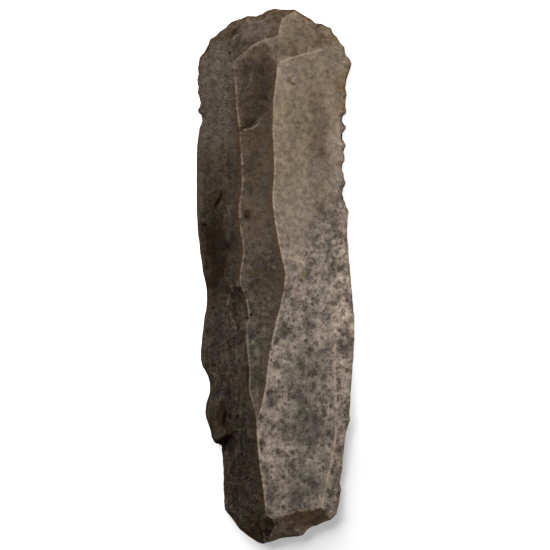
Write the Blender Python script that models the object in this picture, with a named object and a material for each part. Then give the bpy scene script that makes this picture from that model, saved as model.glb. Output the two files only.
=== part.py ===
"""A flint blade scraper, one struck blade lying on its smooth flake face.

+Y runs from the butt to the rounded scraper end, +X to the right of the blade seen from above, +Z up.
The origin lies under the middle of the blade, on the surface that it rests on.

The worked back is drawn on the plan as an outline and a net of arrises, the ridges between flake scars.
Each scar is then stretched over its arrises like a skin, slightly hollow, as a struck scar is.
The flake face below follows a formula: a long bow, edges that lift, and the bulb near the butt.
"""

import math

import bmesh
import bpy
import numpy as np
from mathutils import Vector
from mathutils.geometry import delaunay_2d_cdt
from mathutils.kdtree import KDTree

NAME = "flint_blade"

LENGTH = 0.110
WIDTH = 0.0324
THICKNESS = 0.0115

# What is left between the two faces along the outline.
LONG_EDGE = 0.0005
SCRAPER_EDGE = 0.0010
PLATFORM = 0.0022

# The flake face: its bow from end to end, the lift of its long edges and the bulb under the butt.
BOW = 0.0012
EDGE_LIFT = 0.0007
BULB = 0.0016
BULB_SPREAD = 0.0130
BULB_FROM_BUTT = 0.0120
TOE_FROM_END = 0.0060

# How far each of the two worn rests reaches to the side of its middle. Its length is half its width.
BULB_REST = 0.0024
TOE_REST = 0.0040

# The radius of the hollow in every flake scar of the back.
SCAR_RADIUS = 0.060

# The size of the facets that carry the form, on the back and on the flake face.
BACK_FACET = 0.0013
FACE_FACET = 0.0022

# Distances in the net as shares of a facet: within which a line's end joins an earlier line, a point
# of a line is dropped beside an earlier one, and a free point is left out beside a line.
JOIN_SHARE = 0.55
CROWD_SHARE = 0.2
FREE_SHARE = 0.6

# Chords between two knots of a smooth line, and how often the edge's thickness is evened out where
# one stretch of the outline meets the next.
CURVE_CHORDS = 8
EDGE_BLENDS = 3

# Depth of the bite between two cusps of a worked edge, as a share of the distance between them.
SCRAPER_BITE = 0.05
SIDE_BITE = 0.10

# The outline, clockwise seen from above. Each point is a pair of shares in percent: of the width, from
# the middle to the right, and of the length, from the butt. Each stretch ends where the next starts.
LEFT_SHOULDER = (-49.2, 88.8)
RIGHT_SHOULDER = (47.4, 88.5)
BUTT_RIGHT = (38.6, 5.6)
BUTT_LEFT = (-31.8, 6.4)
SCRAPER_END = (
    LEFT_SHOULDER, (-48.5, 90.6), (-42.8, 93.0), (-41.6, 94.1), (-35.6, 95.6), (-28.0, 97.4),
    (-22.6, 97.9), (-17.7, 98.5), (-12.3, 98.4), (-5.0, 99.6), (0.0, 100.0), (11.6, 99.8),
    (16.6, 99.0), (22.8, 97.9), (25.6, 97.2), (29.2, 97.1), (35.0, 96.2), (38.9, 94.6), (43.8, 92.7),
    (44.6, 91.2), (46.8, 90.6), (47.9, 89.7), RIGHT_SHOULDER,
)
RIGHT_WORKED = (
    RIGHT_SHOULDER, (45.8, 87.2), (45.2, 83.9), (45.0, 80.8), (44.6, 77.8), (44.8, 74.2),
    (44.3, 72.0), (44.3, 67.4), (46.3, 62.1),
)
RIGHT_PLAIN = (
    (46.3, 62.1), (45.2, 58.3), (46.6, 52.5), (48.2, 46.8), (50.0, 40.6), (48.6, 32.7),
    (46.9, 25.6), (47.0, 22.8), (44.8, 20.8), (42.7, 16.0), (42.2, 13.6), (40.6, 11.6), (41.4, 9.9),
    BUTT_RIGHT,
)
BUTT = (
    BUTT_RIGHT, (35.3, 4.4), (24.8, 2.8), (20.4, 2.1), (17.6, 1.5), (8.0, 1.3), (2.7, 1.0),
    (-1.0, 0.6), (-8.1, 0.0), (-12.0, 0.5), (-17.3, 1.5), (-22.5, 2.8), (-28.4, 5.1), BUTT_LEFT,
)
LEFT_PLAIN = (
    BUTT_LEFT, (-32.6, 8.8), (-33.0, 14.6), (-34.2, 17.4), (-37.1, 18.3), (-39.8, 19.5),
    (-41.4, 21.4), (-44.4, 24.7), (-41.4, 28.4), (-42.0, 31.0), (-45.9, 33.0), (-47.1, 34.8),
    (-45.7, 40.2), (-43.0, 46.2), (-46.0, 51.4), (-49.2, 59.3), (-50.0, 66.9), (-49.3, 74.6),
    (-47.6, 78.9),
)
LEFT_WORKED = (
    (-47.6, 78.9), (-49.2, 80.8), (-48.5, 82.4), (-49.3, 84.2), (-49.6, 86.6), LEFT_SHOULDER,
)

# Corners of the net, each with a third share: its height in percent of the thickness, over the bow.
LEFT_CORNER = (-27.3, 89.9, 62)
CREST = (1.6, 94.5, 65)
RIGHT_CORNER = (0.9, 89.5, 79)
BREAK = (-3.5, 80.5, 83)
FORK = (-12.0, 23.5, 95)
BUTT_CREST = (-6.0, 5.5, 80)
BUTT_KNEE = (0.3, 4.9, 77)
BUTT_STEP = (0.0, 3.7, 62)
BUTT_POINT = (-6.0, 0.1, None)
RIM_CORNER = (29.4, 6.9, 45)
RIM_JOIN = (41.6, 50.3, 23)
LOBE_HEAD = (-27.6, 21.5, 50)

# The arrises, strongest first. A height of None lies on the outline.
ARRISES = {
    "left": (
        LEFT_CORNER, (-25.6, 86.5, 66), (-24.4, 81.1, 69), (-22.9, 77.5, 70), (-22.0, 73.5, 72),
        (-21.0, 66.9, 74), (-22.9, 63.2, 74), (-22.2, 58.9, 75), (-20.2, 54.4, 77),
        (-22.5, 49.1, 77), (-18.4, 45.6, 80), (-16.8, 42.1, 81), (-18.4, 40.8, 81),
        (-17.9, 37.0, 82), (-16.3, 32.4, 85), (-16.7, 29.0, 87), (-13.9, 26.0, 92), FORK,
    ),
    "right": (
        RIGHT_CORNER, (0.8, 87.3, 81), (-1.2, 82.2, 83), (-1.7, 77.2, 84), (-0.6, 69.7, 85),
        (-1.7, 64.1, 86), (0.9, 58.1, 87), (4.8, 52.5, 88), (6.3, 50.5, 89), (4.8, 46.6, 90),
        (0.2, 41.1, 90), (-3.7, 35.5, 91), (-6.4, 29.0, 92), (-9.8, 24.9, 94), FORK,
    ),
    "spine": (FORK, (-11.4, 19.5, 98), (-9.8, 14.6, 100), (-7.5, 9.8, 93), BUTT_CREST),
    "end_left": (
        LEFT_CORNER, (-20.1, 91.7, 62), (-14.6, 92.8, 63), (-6.3, 94.0, 64), CREST,
    ),
    "end_ridge": (CREST, (1.5, 92.0, 72), RIGHT_CORNER),
    "end_middle": ((-6.3, 94.0, 64), (-3.6, 92.0, 69.5), (-1.2, 90.6, 75), RIGHT_CORNER),
    "end_right": (
        RIGHT_CORNER, (8.6, 90.4, 71), (16.3, 91.1, 62), (25.6, 91.8, 46), (34.8, 92.8, 28),
        (43.8, 92.7, None),
    ),
    "end_top": (CREST, (2.9, 96.3, 43), (4.2, 98.0, 25), (9.2, 98.9, 16), (11.6, 99.8, None)),
    "end_corner": (
        LEFT_CORNER, (-27.6, 91.4, 57), (-25.0, 93.1, 50), (-21.9, 95.0, 39), (-21.9, 96.6, 26),
        (-22.6, 97.9, None),
    ),
    "rim": (
        (34.6, 87.5, 30), (32.7, 81.0, 31), (33.4, 73.5, 29), (35.3, 66.0, 25),
        (38.4, 59.5, 23), RIM_JOIN, (40.0, 47.3, 27), (38.7, 40.8, 34), (37.0, 33.9, 35),
        (38.1, 26.8, 31), (38.8, 22.8, 30), (35.3, 15.5, 37), (30.5, 9.9, 43), RIM_CORNER,
    ),
    "butt_right": (
        BUTT_CREST, BUTT_KNEE, (11.1, 6.1, 69), (24.0, 6.6, 52), RIM_CORNER, (32.1, 5.4, 36),
        (35.0, 4.6, None),
    ),
    "butt_left": (BUTT_CREST, (-10.0, 4.8, 74), (-17.9, 2.8, 42), (-19.8, 2.2, None)),
    "butt_scar_left": ((-10.0, 4.8, 74), (-8.6, 2.8, 50), BUTT_POINT),
    "butt_scar_right": (BUTT_KNEE, BUTT_STEP, (-3.5, 1.7, 42), BUTT_POINT),
    "butt_scar_floor": ((-5.2, 4.2, 62), (-5.6, 2.4, 41)),
    "butt_lip": (BUTT_STEP, (6.9, 3.2, 49), (13.7, 2.5, 37), (17.6, 1.5, None)),
    "left_cross": (
        (-18.4, 40.8, 81), (-24.4, 39.6, 65), (-29.5, 38.3, 52), (-35.8, 37.4, 35),
        (-46.6, 36.1, None),
    ),
    "right_cross": ((5.4, 51.5, 88), (11.0, 50.6, 80), (16.2, 49.4, 70), (21.0, 48.6, 59.5)),
    "oval_edge": (
        (-22.5, 49.0, 77), (-25.7, 48.1, 67), (-28.0, 47.0, 55), (-29.9, 46.1, 47.5),
        (-30.3, 45.0, 46), (-29.9, 43.3, 46.5), (-28.9, 41.9, 49), (-26.4, 40.5, 58),
        (-24.4, 39.6, 65),
    ),
    "oval_floor": ((-23.8, 47.3, 65), (-26.0, 45.4, 55), (-25.4, 43.2, 55), (-22.5, 41.3, 65)),
    "scar_edge": ((-14.4, 88.8, 71), (-16.0, 86.5, 73), (-19.8, 84.3, 72), (-24.0, 82.3, 69)),
    "step_lip": (
        (-22.9, 77.5, 70), (-18.7, 77.2, 73), (-14.3, 77.5, 76), (-9.8, 78.5, 79), BREAK,
        (-1.3, 82.1, 83),
    ),
    "step_floor": (
        (-22.9, 77.5, 70), (-18.7, 77.7, 69), (-14.8, 78.1, 72), (-10.8, 79.1, 76),
        (-5.2, 81.0, 81), (-1.3, 82.1, 83),
    ),
    "lobe_edge": (
        LOBE_HEAD, (-28.4, 20.4, 48), (-31.1, 19.8, 41), (-35.0, 19.2, 30), (-37.9, 18.95, 19),
        (-39.8, 18.9, None),
    ),
    "lobe_foot": (
        LOBE_HEAD, (-27.6, 20.2, 42), (-29.0, 19.4, 33), (-32.0, 18.8, 22), (-34.3, 18.3, 17),
        (-35.2, 18.1, None),
    ),
    "lobe_fold": ((-33.9, 26.9, 35), (-32.7, 25.1, 36), (-32.3, 23.4, 36), (-33.6, 21.9, 33)),
}

STONE_COLOUR = (0.17, 0.145, 0.115, 1.0)
STONE_ROUGHNESS = 0.55
ARRIS_ANGLE = math.radians(14)
REST_CORNERS = 6


def in_metres(points):
    """Shares of the width, the length and, where given, the thickness, as lengths."""
    sizes = (WIDTH / 100, LENGTH / 100, THICKNESS / 100)
    rows = [[share * size for share, size in zip(point, sizes) if share is not None] for point in points]
    return [np.array(row) - [0.0, LENGTH / 2, 0.0][:len(row)] for row in rows]


def smooth_curve(knots):
    """Short chords of a smooth curve through the knots."""
    knots = np.array(knots)
    slopes = np.gradient(knots, axis=0)
    share = np.linspace(0.0, 1.0, CURVE_CHORDS, endpoint=False)[:, None]
    start_weight = 2 * share**3 - 3 * share**2 + 1
    leave_weight = share**3 - 2 * share**2 + share
    arrive_weight = share**3 - share**2
    spans = [
        start_weight * knots[i] + (1 - start_weight) * knots[i + 1]
        + leave_weight * slopes[i] + arrive_weight * slopes[i + 1]
        for i in range(len(knots) - 1)
    ]
    return np.vstack(spans + [knots[-1:]])


def evenly(curve, spacing):
    """The curve with its points a spacing apart on the plan, and both its ends kept."""
    chords = np.linalg.norm(np.diff(curve[:, :2], axis=0), axis=1)
    run = np.concatenate([[0.0], np.cumsum(chords)])
    count = max(1, round(run[-1] / spacing))
    stops = np.linspace(0.0, run[-1], count + 1)
    return np.column_stack([np.interp(stops, run, column) for column in curve.T])


def bitten(cusps, bite, spacing):
    """An edge that is hollowed between each two cusps, as small flakes leave it."""
    rows = []
    for start, stop in zip(cusps[:-1], cusps[1:]):
        chord = stop - start
        inwards = np.array([chord[1], -chord[0]])
        count = max(1, round(np.linalg.norm(chord) / spacing))
        for share in np.arange(count) / count:
            rows.append(start + share * chord + 4 * share * (1 - share) * bite * inwards)
    return np.array(rows + [cusps[-1]])


def outline_ring():
    """The closed outline and what is left between the faces at each of its points."""
    stretches = (
        (bitten(in_metres(SCRAPER_END), SCRAPER_BITE, BACK_FACET), SCRAPER_EDGE),
        (bitten(in_metres(RIGHT_WORKED), SIDE_BITE, BACK_FACET), LONG_EDGE),
        (evenly(smooth_curve(in_metres(RIGHT_PLAIN)), BACK_FACET), LONG_EDGE),
        (bitten(in_metres(BUTT), 0.0, BACK_FACET), PLATFORM),
        (evenly(smooth_curve(in_metres(LEFT_PLAIN)), BACK_FACET), LONG_EDGE),
        (bitten(in_metres(LEFT_WORKED), SIDE_BITE, BACK_FACET), LONG_EDGE),
    )
    ring = np.vstack([points[:-1] for points, _ in stretches])
    edge = np.concatenate([np.full(len(points) - 1, left) for points, left in stretches])
    for _ in range(EDGE_BLENDS):
        edge = (np.roll(edge, 1) + edge + np.roll(edge, -1)) / 3
    return ring, edge


def bow_rise(y):
    """How far the bow lifts the blade at a place along it."""
    return BOW * math.sin(math.pi * (y / LENGTH + 0.5)) ** 2


def rest_outline(centre_y, reach):
    """The corners of a small flat rest."""
    turns = np.arange(REST_CORNERS) * math.tau / REST_CORNERS
    return np.column_stack([reach * np.cos(turns), centre_y + reach / 2 * np.sin(turns)])


class FlakeFace:
    """The smooth face below, with the blade tipped until bulb and toe touch, and worn flat there."""

    def __init__(self):
        self.bulb_y = BULB_FROM_BUTT - LENGTH / 2
        self.toe_y = LENGTH / 2 - TOE_FROM_END
        self.rests = (rest_outline(self.bulb_y, BULB_REST), rest_outline(self.toe_y, TOE_REST))
        self.bulb_low = self.shape(0.0, self.bulb_y) + bow_rise(self.bulb_y)
        self.toe_low = self.shape(0.0, self.toe_y) + bow_rise(self.toe_y)
        self.worn = 0.0
        self.worn = max(self.rise(x, y) + bow_rise(y) for rest in self.rests for x, y in rest)

    def shape(self, x, y):
        """The struck face over the bow, before the blade is laid down on it."""
        lift = EDGE_LIFT * (2 * x / WIDTH) ** 2
        away = math.hypot(x, y - self.bulb_y) / BULB_SPREAD
        return lift - BULB * math.exp(-away * away)

    def rise(self, x, y):
        """The struck face over the bow, with the blade laid down and worn in."""
        share = (y - self.bulb_y) / (self.toe_y - self.bulb_y)
        ground = self.bulb_low + (self.toe_low - self.bulb_low) * share
        return self.shape(x, y) - ground - self.worn

    def height(self, x, y):
        """The face over what the blade rests on."""
        return max(0.0, self.rise(x, y) + bow_rise(y))


def is_inside(point, corners):
    """Whether a point lies in a convex outline that runs anticlockwise."""
    sides = np.roll(corners, -1, axis=0) - corners
    away = point - corners
    return bool(np.all(sides[:, 0] * away[:, 1] - sides[:, 1] * away[:, 0] > 0.0))


class Net:
    """Points and lines on the plan that the facets keep to, each point with its rise."""

    def __init__(self, ring, rises):
        self.points = [np.array(point) for point in ring]
        self.rises = list(rises)
        self.edges = [(i, (i + 1) % len(ring)) for i in range(len(ring))]

    def nearest(self, point):
        """The index of the nearest point and its distance."""
        gaps = np.linalg.norm(np.array(self.points) - point, axis=1)
        index = int(np.argmin(gaps))
        return index, gaps[index]

    def draw(self, line, spacing):
        """Adds a line. An end near an earlier line joins it, and a point that crowds one is dropped."""
        last = len(line) - 1
        previous = None
        for place, (x, y, rise) in enumerate(line):
            point = np.array([x, y])
            index, gap = self.nearest(point)
            is_end = place in (0, last)
            if gap > (JOIN_SHARE if is_end else CROWD_SHARE) * spacing:
                self.points.append(point)
                self.rises.append(rise)
                index = len(self.points) - 1
            elif not is_end:
                continue
            if previous is not None and previous != index:
                self.edges.append((previous, index))
            previous = index

    def fill(self, spacing, kept_clear=()):
        """Free points on a triangular lattice between the lines. Their rise isn't fixed."""
        drawn = KDTree(len(self.points))
        for index, point in enumerate(self.points):
            drawn.insert((*point, 0.0), index)
        drawn.balance()
        low = np.min(self.points, axis=0)
        high = np.max(self.points, axis=0)
        row_gap = spacing * math.sqrt(3) / 2
        for row in range(int((high[1] - low[1]) / row_gap) + 1):
            y = low[1] + row * row_gap
            first_x = low[0] + (row % 2) * spacing / 2
            for x in np.arange(first_x, high[0], spacing):
                point = np.array([x, y])
                crowded = drawn.find((x, y, 0.0))[2] < FREE_SHARE * spacing
                if not crowded and not any(is_inside(point, corners) for corners in kept_clear):
                    self.points.append(point)
                    self.rises.append(None)

    def triangles(self):
        """Points, triangles inside the ring and, for each point, its fixed rise or None."""
        plan = [Vector(point) for point in self.points]
        points, _, faces, sources, _, _ = delaunay_2d_cdt(plan, self.edges, [], 1, 1e-7)
        used = sorted({corner for face in faces for corner in face})
        renumber = {old: new for new, old in enumerate(used)}
        rises = [self.rises[sources[i][0]] if sources[i] else None for i in used]
        corners = np.array([[renumber[corner] for corner in face] for face in faces])
        return np.array([points[i][:] for i in used]), corners, rises


def stretch(points, triangles, rises):
    """Rises for the free points: a skin over the fixed ones, hollowed to the radius of a scar."""
    corners = points[triangles]
    sides = np.roll(corners, -1, axis=1) - np.roll(corners, 1, axis=1)
    double_area = np.abs(sides[:, 0, 0] * sides[:, 1, 1] - sides[:, 0, 1] * sides[:, 1, 0])
    stiffness = np.zeros((len(points), len(points)))
    load = np.zeros(len(points))
    for i in range(3):
        np.add.at(load, triangles[:, i], -double_area / 6 / SCAR_RADIUS)
        for j in range(3):
            share = np.sum(sides[:, i] * sides[:, j], axis=1) / (2 * double_area)
            np.add.at(stiffness, (triangles[:, i], triangles[:, j]), share)
    fixed = np.array([rise is not None for rise in rises])
    result = np.array([rise if rise is not None else 0.0 for rise in rises])
    pull = load[~fixed] - stiffness[np.ix_(~fixed, fixed)] @ result[fixed]
    result[~fixed] = np.linalg.solve(stiffness[np.ix_(~fixed, ~fixed)], pull)
    return result


def back_surface(ring, edge, face):
    """The worked back: its points and its triangles."""
    edge_rises = [face.rise(x, y) + left for (x, y), left in zip(ring, edge)]
    net = Net(ring, edge_rises)
    for knots in ARRISES.values():
        line = in_metres(knots)
        on_outline = len(line[-1]) == 2
        if on_outline:
            line[-1] = np.append(line[-1], edge_rises[net.nearest(line[-1])[0]])
        net.draw(evenly(smooth_curve(line), BACK_FACET), BACK_FACET)
    net.fill(BACK_FACET)
    plan, triangles, rises = net.triangles()
    heights = stretch(plan, triangles, rises) + [bow_rise(y) for y in plan[:, 1]]
    return np.column_stack([plan, heights]), triangles


def flake_surface(ring, face):
    """The smooth flake face below: its points and its triangles."""
    net = Net(ring, np.zeros(len(ring)))
    for rest in face.rests:
        closed = np.vstack([rest, rest[:1]])
        net.draw(np.column_stack([closed, np.zeros(len(closed))]), 0.0)
    net.fill(FACE_FACET, kept_clear=face.rests)
    plan, triangles, _ = net.triangles()
    heights = [face.height(x, y) for x, y in plan]
    return np.column_stack([plan, heights]), triangles


def add_surface(mesh, points, triangles, ring, turned):
    """Adds one face of the blade to the mesh and returns the vertices along the outline."""
    verts = [mesh.verts.new(point) for point in points]
    for triangle in triangles:
        order = reversed(triangle) if turned else triangle
        mesh.faces.new([verts[corner] for corner in order])
    finder = KDTree(len(points))
    for index, point in enumerate(points):
        finder.insert((point[0], point[1], 0.0), index)
    finder.balance()
    return [verts[finder.find((x, y, 0.0))[1]] for x, y in ring]


def stone_material():
    """Weathered grey-brown flint."""
    material = bpy.data.materials.new("flint")
    material.use_nodes = True
    shader = material.node_tree.nodes["Principled BSDF"]
    shader.inputs["Base Color"].default_value = STONE_COLOUR
    shader.inputs["Roughness"].default_value = STONE_ROUGHNESS
    shader.inputs["Metallic"].default_value = 0.0
    return material


def make_blade():
    """The blade: back, flake face and the narrow band between them along the outline."""
    ring, edge = outline_ring()
    face = FlakeFace()
    mesh = bmesh.new()
    upper = add_surface(mesh, *back_surface(ring, edge, face), ring, turned=False)
    lower = add_surface(mesh, *flake_surface(ring, face), ring, turned=True)
    for i in range(len(ring)):
        j = (i + 1) % len(ring)
        mesh.faces.new([upper[i], upper[j], lower[j]])
        mesh.faces.new([upper[i], lower[j], lower[i]])
    bmesh.ops.recalc_face_normals(mesh, faces=mesh.faces)
    data = bpy.data.meshes.new(NAME)
    mesh.to_mesh(data)
    mesh.free()
    data.shade_smooth()
    data.set_sharp_from_angle(angle=ARRIS_ANGLE)
    data.materials.append(stone_material())
    blade = bpy.data.objects.new(NAME, data)
    bpy.context.collection.objects.link(blade)
    return blade


for old in list(bpy.data.objects):
    bpy.data.objects.remove(old, do_unlink=True)
make_blade()
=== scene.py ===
"""A flint blade scraper, dressed with its fine relief and finish, on a pale floor under soft light.

The blade's solid gives the form. Here its facets become the curved faces of flake scars between crisp
arrises, its edges get their small retouch scars, and its surface its pits, ripples and weathered skin.
Lengths are in metres unless a name or a comment says millimetres.
"""

import logging
import math
from dataclasses import dataclass
from enum import Enum

import bmesh
import bpy
import numpy as np
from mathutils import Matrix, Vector
from mathutils.kdtree import KDTree


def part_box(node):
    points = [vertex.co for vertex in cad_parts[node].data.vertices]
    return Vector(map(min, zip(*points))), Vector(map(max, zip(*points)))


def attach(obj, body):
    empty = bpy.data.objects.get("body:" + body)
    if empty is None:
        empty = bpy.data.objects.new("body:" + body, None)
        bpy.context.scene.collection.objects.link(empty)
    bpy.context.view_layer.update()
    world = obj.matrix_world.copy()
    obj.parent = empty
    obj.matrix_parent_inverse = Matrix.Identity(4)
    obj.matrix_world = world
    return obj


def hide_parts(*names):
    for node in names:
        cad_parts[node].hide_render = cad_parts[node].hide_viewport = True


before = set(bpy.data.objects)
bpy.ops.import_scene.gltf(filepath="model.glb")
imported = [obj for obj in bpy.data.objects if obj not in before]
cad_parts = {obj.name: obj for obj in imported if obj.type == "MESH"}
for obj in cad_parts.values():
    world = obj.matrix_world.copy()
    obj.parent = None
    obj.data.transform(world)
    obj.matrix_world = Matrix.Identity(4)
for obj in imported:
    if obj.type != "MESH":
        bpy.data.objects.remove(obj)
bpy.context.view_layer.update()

log = logging.getLogger("flint")

MM = 0.001
NODE = "flint_blade"
PIECE = "blade"

# The picture's frame, the blade's length in it, and how far the blade's middle is from the frame's. The
# picture's scale holds at the height of the blade's edge.
PICTURE_PIXELS = 550
BLADE_PIXELS = 535.1
MIDDLE_RIGHT_PIXELS = 0.45
MIDDLE_DOWN_PIXELS = 0.65
EDGE_HEIGHT = 0.5 * MM

# How far past its rim a mark's coat starts to fade, and over how much, as shares of the mark's reach.
COAT_RIM = 1.25
COAT_FADE = 0.6
# Where a patch that weakens the arrises starts to fade, as a share of its reach.
WEAKENED_RIM = 1.5
# How far from the blade's middle the butt starts, in millimetres.
BUTT_FROM = 45.0

Colour = tuple[float, float, float, float]
Number = int | float


class Tone(Enum):
    """The colours of the flint."""

    BEIGE = (0.180, 0.136, 0.090, 1.0)
    PALE = (0.262, 0.213, 0.167, 1.0)
    BROWN = (0.066, 0.043, 0.024, 1.0)
    DUSK = (0.108, 0.082, 0.058, 1.0)
    ASH = (0.155, 0.124, 0.097, 1.0)
    BARK = (0.040, 0.024, 0.014, 1.0)
    SLATE = (0.071, 0.062, 0.053, 1.0)
    ROSE = (0.260, 0.200, 0.160, 1.0)
    SPECK = (0.034, 0.023, 0.015, 1.0)
    RUST = (0.080, 0.040, 0.015, 1.0)
    AMBER = (0.125, 0.064, 0.025, 1.0)
    BONE = (0.400, 0.315, 0.240, 1.0)
    UMBER = (0.012, 0.007, 0.004, 1.0)
    OLIVE = (0.130, 0.090, 0.020, 1.0)
    OCHRE = (0.200, 0.110, 0.040, 1.0)


@dataclass(frozen=True)
class Sock:
    """A node's output that adds Math nodes when it is used in an expression."""

    net: "NodeNet"
    raw: bpy.types.NodeSocket

    def __add__(self, other: "Sock | Number") -> "Sock":
        """Adds a number or a socket."""
        return self.net.maths("ADD", self, other)

    def __radd__(self, other: "Sock | Number") -> "Sock":
        """Adds to a number."""
        return self.net.maths("ADD", other, self)

    def __sub__(self, other: "Sock | Number") -> "Sock":
        """Takes a number or a socket away."""
        return self.net.maths("SUBTRACT", self, other)

    def __rsub__(self, other: "Sock | Number") -> "Sock":
        """Takes itself away from a number."""
        return self.net.maths("SUBTRACT", other, self)

    def __mul__(self, other: "Sock | Number") -> "Sock":
        """Multiplies by a number or a socket."""
        return self.net.maths("MULTIPLY", self, other)

    def __rmul__(self, other: "Sock | Number") -> "Sock":
        """Multiplies a number."""
        return self.net.maths("MULTIPLY", other, self)

    def __truediv__(self, other: "Sock | Number") -> "Sock":
        """Divides by a number or a socket."""
        return self.net.maths("DIVIDE", self, other)

    def __neg__(self) -> "Sock":
        """The same with the sign turned."""
        return self.net.maths("MULTIPLY", self, -1.0)

    def floor(self) -> "Sock":
        """The whole number below."""
        return self.net.maths("FLOOR", self, 0.0)

    def sine(self) -> "Sock":
        """The sine of an angle in radians."""
        return self.net.maths("SINE", self, 0.0)

    def above(self, other: "Sock | Number") -> "Sock":
        """The larger of the two."""
        return self.net.maths("MAXIMUM", self, other)

    def below(self, other: "Sock | Number") -> "Sock":
        """The smaller of the two."""
        return self.net.maths("MINIMUM", self, other)

    def ramp(self, start: "Sock | Number", stop: "Sock | Number") -> "Sock":
        """A smooth step.

        Args:
            start: Where it is 0.
            stop: Where it is 1, which may be the smaller.

        Returns:
            The step's height.
        """
        settings = {"interpolation_type": "SMOOTHSTEP"}
        sockets = {"Value": self, "From Min": start, "From Max": stop}
        return self.net.add("ShaderNodeMapRange", settings, sockets)[0]


@dataclass(frozen=True)
class Made:
    """A node that was added, whose outputs are picked by name or place."""

    net: "NodeNet"
    node: bpy.types.Node

    def __getitem__(self, key: str | int) -> Sock:
        """One of the node's outputs."""
        return Sock(self.net, self.node.outputs[key])


class NodeNet:
    """A node tree that is written as expressions."""

    def __init__(self, tree: bpy.types.NodeTree) -> None:
        """Starts from an emptied tree."""
        self.tree = tree
        tree.nodes.clear()

    def add(self, kind: str, settings: dict | None = None, sockets: dict | None = None) -> Made:
        """Adds a node.

        Args:
            kind: The node's type.
            settings: Its properties, set first.
            sockets: Values or links of its inputs, by name or place.

        Returns:
            The node.
        """
        node = self.tree.nodes.new(kind)
        for name, value in (settings or {}).items():
            setattr(node, name, value)
        for key, value in (sockets or {}).items():
            if isinstance(value, Sock):
                self.tree.links.new(value.raw, node.inputs[key])
            else:
                node.inputs[key].default_value = value
        return Made(self, node)

    def maths(self, operation: str, first: Sock | Number, second: Sock | Number) -> Sock:
        """A Math node on two values."""
        return self.add("ShaderNodeMath", {"operation": operation}, {0: first, 1: second})[0]

    def scaled(self, vector: Sock, factor: Sock | Number) -> Sock:
        """A vector times a number."""
        return self.add("ShaderNodeVectorMath", {"operation": "SCALE"}, {0: vector, "Scale": factor})[0]

    def joined(self, first: Sock, second: Sock | tuple) -> Sock:
        """The sum of two vectors."""
        return self.add("ShaderNodeVectorMath", {"operation": "ADD"}, {0: first, 1: second})[0]

    def times(self, first: Sock, second: Sock | tuple) -> Sock:
        """The product of two vectors, each part by itself."""
        return self.add("ShaderNodeVectorMath", {"operation": "MULTIPLY"}, {0: first, 1: second})[0]

    def length(self, vector: Sock) -> Sock:
        """The length of a vector."""
        return self.add("ShaderNodeVectorMath", {"operation": "LENGTH"}, {0: vector})["Value"]

    def part(self, vector: Sock, axis: str) -> Sock:
        """A vector's part along X, Y or Z."""
        return self.add("ShaderNodeSeparateXYZ", {}, {0: vector})[axis]

    def stored(self, name: str) -> Sock:
        """In a material's tree, a value that was stored on the vertices."""
        return self.add("ShaderNodeAttribute", {"attribute_name": name})["Fac"]

    def tint(self, under: Sock | Tone | Colour, over: Sock | Tone | Colour, share: Sock | Number) -> Sock:
        """One colour over another.

        Args:
            under: The colour where share is 0.
            over: The colour where share is 1.
            share: How much of the second shows.

        Returns:
            The mixed colour.
        """
        under, over = (colour.value if isinstance(colour, Tone) else colour for colour in (under, over))
        settings = {"data_type": "RGBA", "clamp_factor": True}
        return self.add("ShaderNodeMix", settings, {0: share, 6: under, 7: over})[2]

    def noise(self, vector: Sock, scale: float, detail: float, roughness: float = 0.5) -> Sock:
        """Noise around a half, with scale swings along each unit of the vector."""
        sockets = {"Vector": vector, "Scale": scale, "Detail": detail, "Roughness": roughness}
        return self.add("ShaderNodeTexNoise", {}, sockets)[0]


class Coat(Enum):
    """What a mark leaves on the surface besides its dent: a tone of the finish and its strength, at some
    marks painted shade.
    """

    PALE = (Tone.BONE, 0.55)
    CHALKY = (Tone.BONE, 0.35)
    OLIVE = (Tone.OLIVE, 0.8)
    BROWN = (Tone.RUST, 0.75)
    NONE = (Tone.UMBER, 0.0)
    DIM = (Tone.UMBER, 0.28)
    DULL = (Tone.UMBER, 0.55)
    DARK = (Tone.UMBER, 1.0)


class Cut(Enum):
    """The section of a mark."""

    BOWL = "bowl"
    CHIP = "chip"
    SLIT = "slit"


@dataclass(frozen=True)
class Mark:
    """A single small mark on the back, on the plan, in millimetres.

    at is its middle, reach its half length and half width, turn the angle of its length from +X in
    degrees, and depth how far it goes in.
    """

    at: tuple[float, float]
    reach: tuple[float, float]
    turn: float
    depth: float
    cut: Cut
    coat: Coat

    def share(self, points: np.ndarray) -> tuple[np.ndarray, np.ndarray]:
        """Places in the mark.

        Args:
            points: Places on the plan, in millimetres.

        Returns:
            How far each is from the middle, 1 being the mark's rim, and its place along the length.
        """
        turn = math.radians(self.turn)
        away = points - np.array(self.at)
        along = (away[:, 0] * math.cos(turn) + away[:, 1] * math.sin(turn)) / self.reach[0]
        across = (away[:, 1] * math.cos(turn) - away[:, 0] * math.sin(turn)) / self.reach[1]
        return np.hypot(along, across), along

    def dent(self, points: np.ndarray) -> np.ndarray:
        """How far the mark goes in.

        Args:
            points: Places on the plan, in millimetres.

        Returns:
            The depth at each place, in millimetres.
        """
        rim, along = self.share(points)
        hollow = np.clip(1.0 - rim**2, 0.0, 1.0)
        if self.cut is Cut.SLIT:
            hollow = np.sqrt(hollow)
        if self.cut is Cut.CHIP:
            hollow = np.sqrt(hollow) * np.clip(0.5 + 0.5 * along, 0.0, 1.0)
        return self.depth * hollow

    def tinted(self, points: np.ndarray) -> np.ndarray:
        """How strongly the mark is coloured.

        Args:
            points: Places on the plan, in millimetres.

        Returns:
            The strength at each place, from 0 to 1.
        """
        rim, _ = self.share(points)
        _, strength = self.coat.value
        return strength * np.clip((COAT_RIM - rim) / COAT_FADE, 0.0, 1.0)


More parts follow.
